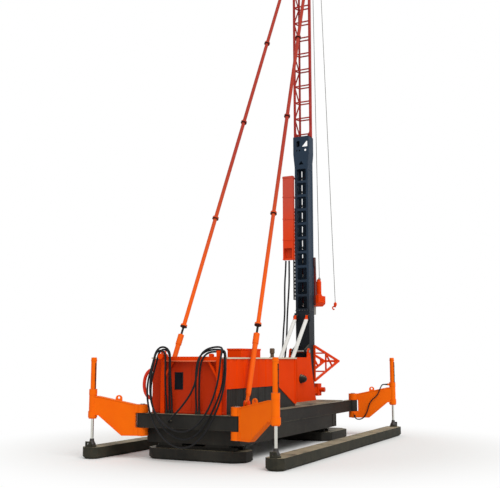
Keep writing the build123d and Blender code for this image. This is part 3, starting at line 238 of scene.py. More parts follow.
ORANGE = srgb(230, 64, 6)
MATERIALS = {
    "orange_paint": paint("house enamel", ORANGE, srgb(222, 60, 6), rough=0.55, dust=0.2, gloss=0.02),
    "arm_paint": paint("arm enamel", srgb(246, 108, 5), srgb(240, 100, 6), dust=0.2, mud=0.12),
    "black_paint": paint("chassis black", srgb(40, 39, 37), srgb(52, 50, 46), rough=0.5, dust=0.5, mud=0.15),
    "mast_paint": paint("mast blue", srgb(30, 33, 37), srgb(36, 40, 45), dust=0.2,
                        high=[(3.6, 6.0, srgb(44, 58, 74))]),
    "shoe_paint": paint("shoe olive", srgb(46, 46, 40), srgb(54, 53, 45), rough=0.6, dust=0.7, mud=0.25),
    "lattice_paint": paint("stay enamel", srgb(240, 98, 18), srgb(228, 88, 24), dust=0.15,
                           high=[(4, 12, srgb(168, 60, 48))]),
    "roof_paint": paint("roof sheet", srgb(214, 202, 180), srgb(196, 182, 156), rough=0.5, dust=0.5),
    "white_paint": paint("cylinder white", srgb(228, 228, 224), srgb(214, 214, 208), rough=0.3, dust=0.1,
                         high=[(3.93, 3.96, ORANGE)]),
    "steel": metal("machined steel", srgb(150, 148, 142), 0.38, 0.5, (1, 1, 4)),
    "chrome": metal("rod chrome", srgb(205, 204, 196), 0.2, 0.25, (3, 3, 0.3)),
    "hose_rubber": rubber("hose rubber", srgb(17, 17, 19), srgb(40, 38, 36), 0.5, 0.22),
    "red_hose": rubber("red hose", srgb(216, 48, 18), srgb(230, 84, 40), 0.34, 0.4),
    "exhaust_steel": metal("exhaust steel", srgb(104, 86, 72), 0.55, 0.6, (1, 1, 4)),
}
JACK_FOOT_TOP = 0.515
STAY_SCREW_TOP = 3.512
OWN_FINISH = {
    "deck_plate": tread("deck tread", srgb(52, 51, 48)),
    "jack_rod_": metal("jack chrome", srgb(205, 204, 196), 0.2, 0.3, (3, 3, 0.3), JACK_FOOT_TOP),
    "stay_pipe_": paint("stay and screw", SOOT, srgb(48, 44, 40), dust=0.1,
                        high=[(STAY_SCREW_TOP - 0.002, STAY_SCREW_TOP + 0.002, srgb(238, 94, 18)),
                              (3.6, 9.5, srgb(170, 58, 44))]),
    "mast_lattice": paint("lattice red", srgb(158, 46, 42), srgb(176, 56, 46), dust=0.1),
    "mast_crown": paint("crown red", srgb(150, 44, 40), srgb(168, 52, 44), dust=0.1),
    "head_carriage": paint("carriage red", srgb(112, 34, 30), srgb(52, 36, 34), dust=0.15),
    "hose_duct": paint("duct enamel", srgb(232, 70, 28), srgb(224, 66, 32), dust=0.1,
                       high=[(6.6, 8.6, srgb(204, 82, 66))]),
    # The rear wall is darker than the house orange: painted shade for the wall turned from the sun
    "house_wall_rear": paint("rear wall painted shade", srgb(190, 50, 13), srgb(180, 45, 14), dust=0.2),
}
RING_DARK = paint("joint ring", srgb(66, 30, 27), srgb(54, 28, 26), dust=0.1)
HATCH_DARK = paint("hatch dark", srgb(14, 17, 24), srgb(18, 21, 28), rough=0.3, dust=0.0, gloss=0.15)
LEDGE_PALE = paint("ledge edge", srgb(236, 112, 74), srgb(226, 104, 66), dust=0.4)
ROPE_GREY = metal("rope wire", srgb(104, 104, 100), 0.5, 0.5, (1, 1, 6))


def dress_nodes():
    slots = {s["node"]: s["material_slot"] for s in frame["record"]["subparts"]}
    for name, piece in NODES.items():
        own = [finish for start, finish in OWN_FINISH.items() if name.startswith(start)]
        piece.data.materials.clear()
        piece.data.materials.append(own[0] if own else MATERIALS[slots[name]])


dress_nodes()

# Hose routes, in metres; the arm hose is told from its hinge, with the arm along x
ROUTES = {
    "hose_line_1": [
        (-0.520, -4.500, 1.200), (-0.520, -4.500, 1.420), (-0.505, -4.540, 1.700), (-0.485, -4.590, 2.050),
        (-0.472, -4.612, 2.360), (-0.462, -4.620, 2.570), (-0.468, -4.622, 2.745), (-0.563, -4.622, 2.842),
        (-0.697, -4.624, 2.842), (-0.792, -4.628, 2.745), (-0.838, -4.632, 2.560), (-0.898, -4.640, 2.350),
        (-0.965, -4.646, 2.120), (-1.008, -4.650, 1.860), (-0.992, -4.650, 1.560), (-0.900, -4.650, 1.250),
        (-0.740, -4.650, 0.990), (-0.520, -4.650, 0.770), (-0.260, -4.650, 0.620), (0.020, -4.650, 0.565),
        (0.290, -4.650, 0.640), (0.520, -4.650, 0.830), (0.720, -4.650, 1.100), (0.885, -4.650, 1.390),
        (1.020, -4.650, 1.670), (1.112, -4.650, 1.960), (1.160, -4.645, 2.260), (1.150, -4.612, 2.520),
        (1.105, -4.510, 2.715), (1.002, -4.385, 2.775), (0.855, -4.332, 2.778), (0.710, -4.410, 2.785),
        (0.592, -4.530, 2.740), (0.502, -4.605, 2.600), (0.452, -4.625, 2.370), (0.428, -4.612, 2.080),
        (0.408, -4.582, 1.800), (0.382, -4.540, 1.560), (0.366, -4.500, 1.390), (0.366, -4.500, 1.200),
    ],
    "hose_line_2": [
        (-0.440, -4.505, 1.200), (-0.440, -4.505, 1.430), (-0.430, -4.562, 1.720), (-0.415, -4.630, 2.060),
        (-0.408, -4.668, 2.370), (-0.405, -4.678, 2.590), (-0.415, -4.682, 2.779), (-0.541, -4.682, 2.905),
        (-0.719, -4.684, 2.905), (-0.845, -4.690, 2.779), (-0.902, -4.698, 2.560), (-0.975, -4.704, 2.320),
        (-1.048, -4.708, 2.070), (-1.080, -4.710, 1.800), (-1.060, -4.710, 1.520), (-0.972, -4.710, 1.170),
        (-0.810, -4.710, 0.860), (-0.590, -4.710, 0.610), (-0.320, -4.710, 0.430), (-0.020, -4.710, 0.360),
        (0.280, -4.710, 0.430), (0.540, -4.710, 0.630), (0.760, -4.710, 0.910), (0.940, -4.710, 1.230),
        (1.085, -4.710, 1.550), (1.185, -4.710, 1.890), (1.230, -4.704, 2.220), (1.215, -4.672, 2.520),
        (1.150, -4.560, 2.750), (1.020, -4.410, 2.815), (0.852, -4.335, 2.834), (0.682, -4.405, 2.838),
        (0.532, -4.560, 2.775), (0.432, -4.665, 2.630), (0.378, -4.686, 2.370), (0.352, -4.662, 2.060),
        (0.328, -4.612, 1.770), (0.302, -4.552, 1.550), (0.286, -4.505, 1.390), (0.286, -4.505, 1.200),
    ],
    "hose_line_3": [
        (-0.598, -4.510, 1.200), (-0.598, -4.510, 1.430), (-0.586, -4.590, 1.720), (-0.548, -4.680, 2.040),
        (-0.518, -4.732, 2.340), (-0.506, -4.744, 2.550), (-0.510, -4.746, 2.727), (-0.598, -4.746, 2.815),
        (-0.722, -4.748, 2.815), (-0.810, -4.750, 2.727), (-0.852, -4.756, 2.540), (-0.900, -4.762, 2.320),
        (-0.942, -4.768, 2.080), (-0.955, -4.770, 1.800), (-0.905, -4.770, 1.480), (-0.780, -4.770, 1.220),
        (-0.590, -4.770, 1.010), (-0.350, -4.770, 0.850), (-0.070, -4.770, 0.770), (0.200, -4.770, 0.800),
        (0.450, -4.770, 0.940), (0.660, -4.770, 1.170), (0.830, -4.770, 1.440), (0.960, -4.770, 1.740),
        (1.050, -4.768, 2.050), (1.085, -4.745, 2.360), (1.068, -4.665, 2.630), (1.036, -4.530, 2.790),
        (0.968, -4.395, 2.872), (0.845, -4.325, 2.906), (0.700, -4.390, 2.896), (0.585, -4.540, 2.842),
        (0.515, -4.680, 2.720), (0.470, -4.748, 2.520), (0.440, -4.758, 2.230), (0.385, -4.758, 1.970),
        (0.265, -4.762, 1.720), (0.090, -4.772, 1.490), (-0.055, -4.788, 1.325), (-0.190, -4.800, 1.195),
        (-0.340, -4.790, 1.060), (-0.440, -4.700, 1.005), (-0.440, -4.548, 1.005),
    ],
    "hose_line_red": [
        (-1.120, -4.200, 2.340), (-1.215, -4.200, 2.340), (-1.348, -4.208, 2.292), (-1.443, -4.215, 2.185),
        (-1.490, -4.220, 2.030), (-1.496, -4.222, 1.855), (-1.453, -4.218, 1.690), (-1.348, -4.210, 1.575),
        (-1.210, -4.200, 1.545), (-1.092, -4.200, 1.545),
    ],
    "mast_line_1": [
        (-0.575, 3.195, 6.025), (-0.585, 3.185, 5.650), (-0.606, 3.155, 5.250), (-0.590, 3.100, 4.720),
        (-0.570, 3.060, 4.150), (-0.598, 2.995, 3.560), (-0.585, 2.900, 2.980), (-0.560, 2.760, 2.430),
        (-0.565, 2.610, 1.960), (-0.590, 2.490, 1.590), (-0.590, 2.490, 1.200),
    ],
    "mast_line_2": [
        (-0.450, 3.195, 6.025), (-0.446, 3.182, 5.640), (-0.432, 3.145, 5.230), (-0.440, 3.080, 4.700),
        (-0.462, 3.030, 4.130), (-0.450, 2.955, 3.540), (-0.440, 2.850, 2.960), (-0.455, 2.710, 2.410),
        (-0.460, 2.565, 1.950), (-0.445, 2.455, 1.590), (-0.445, 2.455, 1.200),
    ],
    "hose_line_arm": [
        (1.195, 0.000, 1.725), (1.105, 0.000, 1.725), (1.020, -0.075, 1.725), (0.965, -0.140, 1.665),
        (0.915, -0.165, 1.555), (0.865, -0.165, 1.425), (0.785, -0.160, 1.315), (0.660, -0.160, 1.225),
        (0.560, -0.160, 1.090), (0.505, -0.160, 0.910), (0.450, -0.158, 0.745), (0.370, -0.150, 0.625),
        (0.280, -0.145, 0.560), (0.180, -0.145, 0.540), (0.100, -0.160, 0.560), (0.050, -0.180, 0.615),
        (0.050, -0.180, 0.700),
    ],
}
ARM_PIN_X, ARM_PIN_Y, ARM_PIN_TOP = 1.400, 4.410, 1.425
ARM_ANGLE = math.radians(20.2)
ARM_HINGE = Matrix.Translation((ARM_PIN_X, ARM_PIN_Y, 0)) @ Matrix.Rotation(ARM_ANGLE, 4, "Z")
ROUTES["hose_line_arm"] = [tuple(ARM_HINGE @ Vector(point)) for point in ROUTES["hose_line_arm"]]

# Each hose: diameter, length, body and finish
HOSES = {
    "hose_line_1": (0.050, 9.532, "platform", "hose_rubber"),
    "hose_line_2": (0.050, 10.423, "platform", "hose_rubber"),
    "hose_line_3": (0.050, 10.004, "platform", "hose_rubber"),
    "hose_line_red": (0.090, 1.285, "platform", "red_hose"),
    "hose_line_arm": (0.040, 1.963, "arm_front_right", "hose_rubber"),
    "mast_line_1": (0.060, 4.899, "mast", "hose_rubber"),
    "mast_line_2": (0.060, 4.900, "mast", "hose_rubber"),
}


def hose_run(name, points, diameter):
    """A hose as one smooth line through the pull of its route's points."""
    line = bpy.data.curves.new(name, "CURVE")
    line.dimensions = "3D"
    line.resolution_u = 12
    line.bevel_depth = diameter / 2
    line.bevel_resolution = 4
    line.use_fill_caps = True
    spline = line.splines.new("NURBS")
    spline.points.add(len(points) - 1)
    for spot, point in zip(spline.points, points):
        spot.co = (*point, 1)
    spline.order_u = 3
    spline.use_endpoint_u = True
    piece = bpy.data.objects.new(name, line)
    bpy.context.scene.collection.objects.link(piece)
    return piece


def only(piece):
    bpy.ops.object.select_all(action="DESELECT")
    piece.select_set(True)
    bpy.context.view_layer.objects.active = piece


def as_tube(piece):
    """Turns a hose into a mesh and gives back the line that it follows."""
    thick = piece.data.bevel_depth
    piece.data.bevel_depth = 0
    line = bpy.data.meshes.new_from_object(piece)
    path = [tuple(v.co) for v in line.vertices]
    bpy.data.meshes.remove(line)
    piece.data.bevel_depth = thick
    only(piece)
    bpy.ops.object.convert(target="MESH")
    bpy.ops.object.mode_set(mode="EDIT")
    bpy.ops.mesh.select_all(action="SELECT")
    bpy.ops.mesh.remove_doubles(threshold=0.00005)
    bpy.ops.mesh.normals_make_consistent(inside=False)
    bpy.ops.object.mode_set(mode="OBJECT")
    bpy.ops.object.shade_smooth_by_angle(angle=math.radians(40))
    return path


def lay_hoses():
    for name, (diameter, length, body, slot) in HOSES.items():
        points = ROUTES[name]
        piece = hose_run(name + "_run", points, diameter)
        piece.data.materials.append(MATERIALS[slot])
        path = None
        if body == "mast":
            path = as_tube(piece)
            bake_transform(piece)
        else:
            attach(piece, body)
        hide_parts(name)


lay_hoses()


# Modelling helpers
def shape(piece, wanted):
    """Opens a piece in edit mode with the faces chosen by their place or direction selected."""
    only(piece)
    bpy.ops.object.mode_set(mode="EDIT")
    bpy.ops.mesh.select_mode(type="FACE")
    bpy.ops.mesh.select_all(action="DESELECT")
    bpy.ops.object.mode_set(mode="OBJECT")
    for face in piece.data.polygons:
        face.select = wanted(face)
    bpy.ops.object.mode_set(mode="EDIT")


def shaped():
    bpy.ops.object.mode_set(mode="OBJECT")


def push(distance):
    """Extrudes the selected faces along their direction."""
    bpy.ops.mesh.extrude_region_shrink_fatten(TRANSFORM_OT_shrink_fatten={"value": distance})


def step(rim, distance):
    """Insets the selected face by a rim and pushes it out, or in where the distance is negative."""
    bpy.ops.mesh.inset(thickness=rim)
    push(distance)


def top_face(face):
    return face.normal.z > 0.99


def end_faces(face):
    return abs(face.normal.z) > 0.99


def rear_face(face):
    return face.normal.y < -0.99


def front_face(face):
    return face.normal.y > 0.99


def close_ends():
    bpy.ops.object.mode_set(mode="EDIT")
    bpy.ops.mesh.select_all(action="SELECT")
    bpy.ops.mesh.fill_holes(sides=0)
    bpy.ops.object.mode_set(mode="OBJECT")


def rod(radius, depth, sides=24, place=(0, 0, 0)):
    bpy.ops.object.select_all(action="DESELECT")
    middle = (place[0], place[1], place[2] + depth / 2)
    bpy.ops.mesh.primitive_cylinder_add(vertices=sides, radius=radius, depth=depth, location=middle)
    return bpy.context.object


def slab(low, high):
    bpy.ops.object.select_all(action="DESELECT")
    middle = [(a + b) / 2 for a, b in zip(low, high)]
    bpy.ops.mesh.primitive_cube_add(size=1, location=middle)
    piece = bpy.context.object
    piece.scale = [b - a for a, b in zip(low, high)]
    bpy.ops.object.transform_apply(location=True, rotation=True, scale=True)
    return piece


def round_edges(piece, width):
    only(piece)
    edge = piece.modifiers.new("edge", "BEVEL")
    edge.width = width
    edge.segments = 2
    edge.limit_method = "ANGLE"
    bpy.ops.object.modifier_apply(modifier="edge")


def joined(pieces):
    bpy.context.view_layer.update()
    bpy.ops.object.select_all(action="DESELECT")
    for piece in pieces:
        piece.select_set(True)
    bpy.context.view_layer.objects.active = pieces[0]
    if len(pieces) > 1:
        bpy.ops.object.join()
    return pieces[0]


def copies(pattern, spots):
    """Joins copies of a pattern, one at each place, along each direction and at each scale."""
    made = []
    for place, way, scale in spots:
        copy = bpy.data.objects.new("copy", pattern.data.copy())
        turn = Vector(way).to_track_quat("Z", "Y").to_matrix().to_4x4()
        copy.matrix_world = Matrix.Translation(place) @ turn @ Matrix.Scale(scale, 4)
        bpy.context.scene.collection.objects.link(copy)
        made.append(copy)
    return joined(made)


def settle(piece, name, body, slot, finish=None):
    """Sets a piece's place in its mesh, closes its seams, and gives it a name, a finish and a body."""
    only(piece)
    bpy.ops.object.transform_apply(location=True, rotation=True, scale=True)
    bpy.ops.object.mode_set(mode="EDIT")
    bpy.ops.mesh.select_all(action="SELECT")
    bpy.ops.mesh.remove_doubles(threshold=0.00005)
    bpy.ops.mesh.normals_make_consistent(inside=False)
    bpy.ops.object.mode_set(mode="OBJECT")
    bpy.ops.object.shade_smooth_by_angle(angle=math.radians(35))
    piece.name = name
    piece.data.materials.clear()
    piece.data.materials.append(finish or MATERIALS[slot])
    if body:
        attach(piece, body)
    return piece


def ring(middle, way, radius, count, scale=1.0, phase=0.0):
    """Places on a circle round an axis, for the bolts of a flange."""
    turn = Vector(way).to_track_quat("Z", "Y")
    spots = []
    for k in range(count):
        angle = phase + 2 * math.pi * k / count
        offset = turn @ Vector((radius * math.cos(angle), radius * math.sin(angle), 0))
        spots.append((Vector(middle) + offset, way, scale))
    return spots


# Bolt: hexagon head with a crowned top on a washer
def make_bolt():
    head = rod(0.016, 0.013, 6, (0, 0, 0.004))
    shape(head, top_face)
    step(0.004, 0.002)
    shaped()
    washer = rod(0.021, 0.004, 16)
    shape(washer, top_face)
    step(0.002, 0.001)
    shaped()
    return joined([head, washer])


# Hose end: a nut, and a sleeve with three crimped collars
def make_ferrule():
    nut = rod(0.040, 0.030, 6)
    shape(nut, top_face)
    step(0.008, 0.006)
    push(0.004)
    shaped()
    sleeve = rod(0.032, 0.075, 24, (0, 0, 0.030))
    shape(sleeve, top_face)
    step(0.003, 0.004)
    shaped()
    collars = [sleeve]
    for z in (0.045, 0.062, 0.079):
        collar = rod(0.035, 0.008, 24, (0, 0, z))
        shape(collar, end_faces)
        bpy.ops.mesh.inset(thickness=0.002)
        shaped()
        collars.append(collar)
    return joined([nut] + collars)


# Rail clip: chamfered pad held down by its own bolt
def make_clip(bolt):
    pad = slab((-0.022, -0.045, 0), (0.022, 0.045, 0.018))
    round_edges(pad, 0.004)
    head = copies(bolt, [((0, 0, 0.018), UP, 0.8)])
    return joined([pad, head])


# Directions, and what the small pieces sit on; of a pair, the right one's place
UP, DOWN, REAR, FRONT, RIGHT, LEFT = (0, 0, 1), (0, 0, -1), (0, -1, 0), (0, 1, 0), (1, 0, 0), (-1, 0, 0)
SIDES = {"right": 1, "left": -1}
CORNERS = {"rear_right": (1, -1), "front_right": (1, 1), "rear_left": (-1, -1), "front_left": (-1, 1)}
JACK_X, JACK_Y = 2.676, 4.880
COLLAR_TOP, GLAND_LOW = 1.800, 1.032
MAST_PIN_END = (0.375, 3.000, 2.850)
RAM_SEAT_TOP = (0.215, 0.800, 1.225)
MOTOR_FLANGE = (0.225, 4.300, 4.880)
CLAMP_RAM_END = (0.400, 4.300, 1.530)
LIP_SIDE, LIP_REAR, LIP_Z = 0.262, 3.273, 4.272
RAIL_X, RAIL_FRONT = 0.158, 3.715
CLIP_LOW, CLIP_PITCH, CLIP_ROWS = 1.98, 0.506, 17
HOUSE_LEFT = -1.120
TRIM_BACK = -4.416
TOWER_SIDE = 0.345
WINCH_Y, WINCH_Z = 2.260, 1.950

# Stays: ends, the first flange joint in metres from the foot, and the others in shares of the length
STAY_FOOT, STAY_TOP = Vector((1.300, -3.650, 1.460)), Vector((0.380, 3.285, 17.070))
FIRST_JOINT = 2.250
JOINT_SHARES = (0.346, 0.566, 0.772)
FLANGE_T = 0.060


def sided(place, sx):
    return (sx * place[0], *place[1:])


def stay_joints(sx):
    """The lower faces of one stay's flange joints, and the stay's direction."""
    foot, top = Vector(sided(STAY_FOOT, sx)), Vector(sided(STAY_TOP, sx))
    way, length = (top - foot).normalized(), (top - foot).length
    reaches = [FIRST_JOINT] + [share * length for share in JOINT_SHARES]
    return [foot + way * reach for reach in reaches], way


def jack_bolts(bolt):
    between_pipes = math.atan2(PIPE_SIDE.y, PIPE_SIDE.x) + math.pi / 8
    for name, (sx, sy) in CORNERS.items():
        x, y = sx * JACK_X, sy * JACK_Y
        spots = ring((x, y, COLLAR_TOP), UP, 0.091, 8, 0.62, between_pipes)
        spots += ring((x, y, GLAND_LOW), DOWN, 0.078, 8, 0.62)
        settle(copies(bolt, spots), f"jack_bolts_{name}", f"arm_{name}", "steel")


def deck_bolts(bolt):
    spots = []
    for sx, sy in CORNERS.values():
        spots += ring((sx * ARM_PIN_X, sy * ARM_PIN_Y, ARM_PIN_TOP), UP, 0.042, 4, 0.8)
    for sx in SIDES.values():
        spots += ring(sided(MAST_PIN_END, sx), (sx, 0, 0), 0.030, 3, 0.8)
        x, y, z = sided(RAM_SEAT_TOP, sx)
        spots += [((x + dx, y + dy, z), UP, 0.8) for dx in (-0.060, 0.060) for dy in (-0.105, 0.105)]
    settle(copies(bolt, spots), "deck_bolts", "platform", "steel")


def stay_bolts(bolt):
    for side, sx in SIDES.items():
        joints, way = stay_joints(sx)
        spots = []
        for joint in joints:
            spots += ring(joint + way * FLANGE_T, way, 0.076, 8, 0.7)
            spots += ring(joint, -way, 0.076, 8, 0.7)
        settle(copies(bolt, spots), f"stay_bolts_{side}", f"stay_pipe_{side}", "steel")


def motor_bolts(bolt):
    spots = []
    for sx in SIDES.values():
        spots += ring(sided(MOTOR_FLANGE, sx), UP, 0.100, 8, 0.45)
    settle(copies(bolt, spots), "motor_bolts", "head", "steel")


def mast_bolts(bolt):
    spots = [((x, LIP_REAR, LIP_Z), REAR, 0.6) for x in (-0.20, -0.10, 0.0, 0.10, 0.20)]
    for sx in SIDES.values():
        spots += ring(sided(CLAMP_RAM_END, sx), (sx, 0, 0), 0.062, 6, 0.8)
        spots += [((LIP_SIDE * sx, y, LIP_Z), (sx, 0, 0), 0.6) for y in (3.35, 3.45, 3.55, 3.65)]
    settle(copies(bolt, spots), "mast_bolts", "mast", "steel")


def rail_clips(bolt):
    clip = make_clip(bolt)
    spots = []
    for k in range(CLIP_ROWS):
        z = CLIP_LOW + CLIP_PITCH * k
        spots += [((sx * RAIL_X, RAIL_FRONT, z), FRONT, 1.0) for sx in SIDES.values()]
    settle(copies(clip, spots), "rail_clips", "mast", "steel")
    bpy.data.objects.remove(clip)


def set_ferrules():
    ferrule = make_ferrule()
    spots = [(ROUTES[f"hose_line_{k}"][0], UP, 1.0) for k in (1, 2, 3)]
    spots += [(ROUTES[f"hose_line_{k}"][-1], UP, 1.0) for k in (1, 2)]
    spots.append((ROUTES["hose_line_3"][-1], REAR, 1.0))
    spots += [((HOUSE_LEFT, *ROUTES["hose_line_red"][k][1:]), LEFT, 1.8) for k in (0, -1)]
    spots += [(ROUTES[f"mast_line_{k}"][-1], UP, 1.2) for k in (1, 2)]
    settle(copies(ferrule, spots), "hose_ends", "platform", "black_paint")
    route = ROUTES["hose_line_arm"]
    out = Vector(route[1]) - Vector(route[0])
    spots = [(route[0], out.normalized(), 0.8), (route[-1], DOWN, 0.8)]
    settle(copies(ferrule, spots), "arm_hose_ends", "arm_front_right", "black_paint")
    bpy.data.objects.remove(ferrule)


# Jack pipes: a steel line up each barrel, bent into its top, with two clips
PIPE_SIDE = Vector((0.947, -0.322, 0))
PIPE_OUT, PIPE_RISE, PIPE_BEND = 0.094, 0.690, 0.030
PIPE_CLIPS = (2.02, 2.34)


def jack_pipe(name, sx, sy):
    at = Vector((sx * JACK_X, sy * JACK_Y, 0)) + PIPE_SIDE * PIPE_OUT
    pipe = rod(0.010, PIPE_RISE, 12, (at.x, at.y, COLLAR_TOP))
    shape(pipe, top_face)
    bend = at - PIPE_SIDE * PIPE_BEND
    bpy.ops.mesh.spin(steps=6, angle=math.pi / 2, center=(bend.x, bend.y, COLLAR_TOP + PIPE_RISE),
                      axis=PIPE_SIDE.cross(Vector(UP)))
    shaped()
    clips = []
    for z in PIPE_CLIPS:
        clip = rod(0.016, 0.030, 12, (at.x, at.y, z))
        shape(clip, end_faces)
        bpy.ops.mesh.inset(thickness=0.004)
        shaped()
        round_edges(clip, 0.003)
        clips.append(clip)
    settle(joined([pipe] + clips), f"jack_pipe_{name}", f"arm_{name}", "black_paint")


# Dark joint rings between the stay flanges
def stay_rings(side, sx):
    joints, way = stay_joints(sx)
    gasket = rod(0.099, 0.022, 32, (0, 0, 0.019))
    shape(gasket, end_faces)
    bpy.ops.mesh.inset(thickness=0.008)
    shaped()
    round_edges(gasket, 0.003)
    spots = [(joint, way, 1.0) for joint in joints]
    settle(copies(gasket, spots), f"stay_rings_{side}", f"stay_pipe_{side}", "black_paint", RING_DARK)
    bpy.data.objects.remove(gasket)


# Hatch in the rear wall: a rim round a dark pane set back
def hatch():
    pane = slab((-0.412, -4.434, 1.813), (-0.163, -4.400, 2.257))
    shape(pane, rear_face)
    bpy.ops.mesh.inset(thickness=0.022)
    push(-0.020)
    shaped()
    round_edges(pane, 0.003)
    settle(pane, "hatch_pane", "platform", "black_paint", HATCH_DARK)


# Ledge under the hose beam, folded from sheet
def beam_ledge():
    ledge = slab((-0.672, -4.548, 2.548), (0.867, -4.515, 2.560))
    shape(ledge, rear_face)
    push(0.004)
    bpy.ops.transform.translate(value=(0, 0, -0.022))
    shaped()
    round_edges(ledge, 0.002)
    settle(ledge, "beam_ledge", "platform", "orange_paint", LEDGE_PALE)


# Sill and pressed seams on the rear wall
def rear_wall_trim():
    sill = slab((-1.060, -4.440, 1.205), (1.060, TRIM_BACK, 1.268))
    shape(sill, rear_face)
    step(0.010, 0.004)
    shaped()
    strips = [sill]
    for x in (0.090, 0.372):
        strip = slab((x - 0.012, -4.426, 1.268), (x + 0.012, TRIM_BACK, 2.555))
        shape(strip, rear_face)
        step(0.004, 0.002)
        shaped()
        strips.append(strip)
    trim = joined(strips)
    round_edges(trim, 0.002)
    # The trim takes the rear wall's darker enamel, with its painted shade
    settle(trim, "rear_wall_trim", "platform", "orange_paint", OWN_FINISH["house_wall_rear"])


# Winch motor on the right tower plate, with its valve block
def winch_motor(bolt):
    motor = rod(0.150, 0.050, 40)
    shape(motor, top_face)
    step(0.025, 0.090)
    step(0.030, 0.060)
    step(0.045, 0.030)
    shaped()
    round_edges(motor, 0.004)
    motor = joined([motor, copies(bolt, ring((0, 0, 0.050), UP, 0.138, 10, 0.6))])
    placed = copies(motor, [((TOWER_SIDE, WINCH_Y, WINCH_Z), RIGHT, 1.0)])
    settle(placed, "winch_motor", "platform", "black_paint")
    bpy.data.objects.remove(motor)
    valve = slab((0.410, 2.290, 1.985), (0.500, 2.380, 2.085))
    shape(valve, top_face)
    step(0.020, 0.020)
    shaped()
    round_edges(valve, 0.004)
    settle(valve, "winch_valve", "platform", "orange_paint")


# Ropes of six lobes, twisted once in each lay of six diameters
HOIST_TOP, HOIST_END, HOIST_ROPE = (0.070, 4.412, 17.740), (0.248, 4.300, 5.470), 0.024
HOOK_TOP, HOOK_END, HOOK_ROPE = (0.242, 4.750, 17.740), (0.676, 4.750, 4.620), 0.022
ROPE_LAY = 6
ROPE_GROOVE = 0.74


def rope(top, bottom, thick):
    bpy.ops.object.select_all(action="DESELECT")
    bpy.ops.mesh.primitive_circle_add(vertices=12, radius=thick / 2)
    strand = bpy.context.object
    only(strand)
    for k, spot in enumerate(strand.data.vertices):
        if k % 2:
            spot.co *= ROPE_GROOVE
    reach = Vector(top) - Vector(bottom)
    turns = round(reach.length / (thick * ROPE_LAY))
    twist = strand.modifiers.new("twist", "SCREW")
    twist.axis = "Z"
    twist.angle = 2 * math.pi
    twist.screw_offset = reach.length / turns
    twist.iterations = turns
    twist.steps = twist.render_steps = 8
    twist.use_merge_vertices = False
    bpy.ops.object.modifier_apply(modifier="twist")
    close_ends()
    turn = reach.to_track_quat("Z", "Y").to_matrix().to_4x4()
    strand.matrix_world = Matrix.Translation(bottom) @ turn
    bpy.context.view_layer.update()
    return strand


def hoist_rope():
    hoist = settle(rope(HOIST_TOP, HOIST_END, HOIST_ROPE), "hoist_rope", None, "steel", ROPE_GREY)
    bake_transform(hoist)


def rope_anchor():
    x, y, z = HOIST_END
    eye = rod(0.055, 0.030, 24, (x, y, z - 0.042))
    shape(eye, top_face)
    step(0.020, 0.030)
    step(0.010, 0.014)
    shaped()
    settle(eye, "rope_anchor", "head", "steel")


# Arm on the crown, with a grooved pulley for the hook's rope
def hook_arm():
    arm = slab((0.150, 4.360, 17.720), (0.192, 4.700, 17.790))
    shape(arm, front_face)
    step(0.008, 0.060)
    shaped()
    round_edges(arm, 0.005)
    wheel = rod(0.088, 0.014, 32)
    shape(wheel, top_face)
    step(0.016, 0.012)
    push(0.012)
    shaped()
    rim = rod(0.088, 0.010, 32, (0, 0, 0.030))
    shape(rim, top_face)
    step(0.030, 0.004)
    shaped()
    pulley = joined([wheel, rim])
    placed = copies(pulley, [((0.222, 4.664, 17.755), RIGHT, 1.0)])
    bpy.data.objects.remove(pulley)
    settle(joined([arm, placed]), "hook_arm", "mast", "lattice_paint", OWN_FINISH["mast_crown"])


# Hook: a swivel and weight drawn out downwards and then bent round
def hook():
    x, y, z = HOOK_END
    weight = rod(0.028, 0.020, 24, (x, y, z - 0.010))
    shape(weight, lambda face: face.normal.z < -0.99)
    push(0.020)
    bpy.ops.transform.resize(value=(2.0, 2.0, 1.0))
    push(0.080)
    push(0.030)
    bpy.ops.transform.resize(value=(0.45, 0.45, 1.0))
    push(0.040)
    bpy.ops.mesh.spin(steps=16, angle=1.45 * math.pi, center=(x - 0.050, y, z - 0.200), axis=FRONT)
    shaped()
    settle(weight, "hook", "mast", "orange_paint")


# Rope wound on the winch drum
def wound_rope():
    bpy.ops.object.select_all(action="DESELECT")
    bpy.ops.mesh.primitive_circle_add(vertices=8, radius=0.0110, location=(-0.210, 0, 0.171),
                                      rotation=(math.pi / 2, 0, 0))
    turns = bpy.context.object
    bpy.ops.object.transform_apply(location=True, rotation=True, scale=True)
    wind = turns.modifiers.new("wind", "SCREW")
    wind.axis = "X"
    wind.angle = 2 * math.pi
    wind.screw_offset = 0.0225
    wind.iterations = 18
    wind.steps = wind.render_steps = 24
    bpy.ops.object.modifier_apply(modifier="wind")
    close_ends()
    turns.location = (0, WINCH_Y, WINCH_Z)
    settle(turns, "wound_rope", "winch_drum", "steel", ROPE_GREY)


def fit_small_pieces():
    bolt = make_bolt()
    for fasten in (jack_bolts, deck_bolts, stay_bolts, motor_bolts, mast_bolts, rail_clips):
        fasten(bolt)
    set_ferrules()
    for name, (sx, sy) in CORNERS.items():
        jack_pipe(name, sx, sy)
    for side, sx in SIDES.items():
        stay_rings(side, sx)
    hatch()
    beam_ledge()
    rear_wall_trim()
    winch_motor(bolt)
    hoist_rope()
    settle(rope(HOOK_TOP, HOOK_END, HOOK_ROPE), "hook_rope", "mast", "steel", ROPE_GREY)
    rope_anchor()
    hook_arm()
    hook()
    wound_rope()
    bpy.data.objects.remove(bolt)


fit_small_pieces()


# Stage: white sky, pale floor that fades into it, and one soft sun
SKY_LEVEL = 0.62
SUN_LEVEL = 1.6
SUN_WAY = (-0.62, 0.46, -0.8)
FLOOR_FADE = (4.5, 9.5)


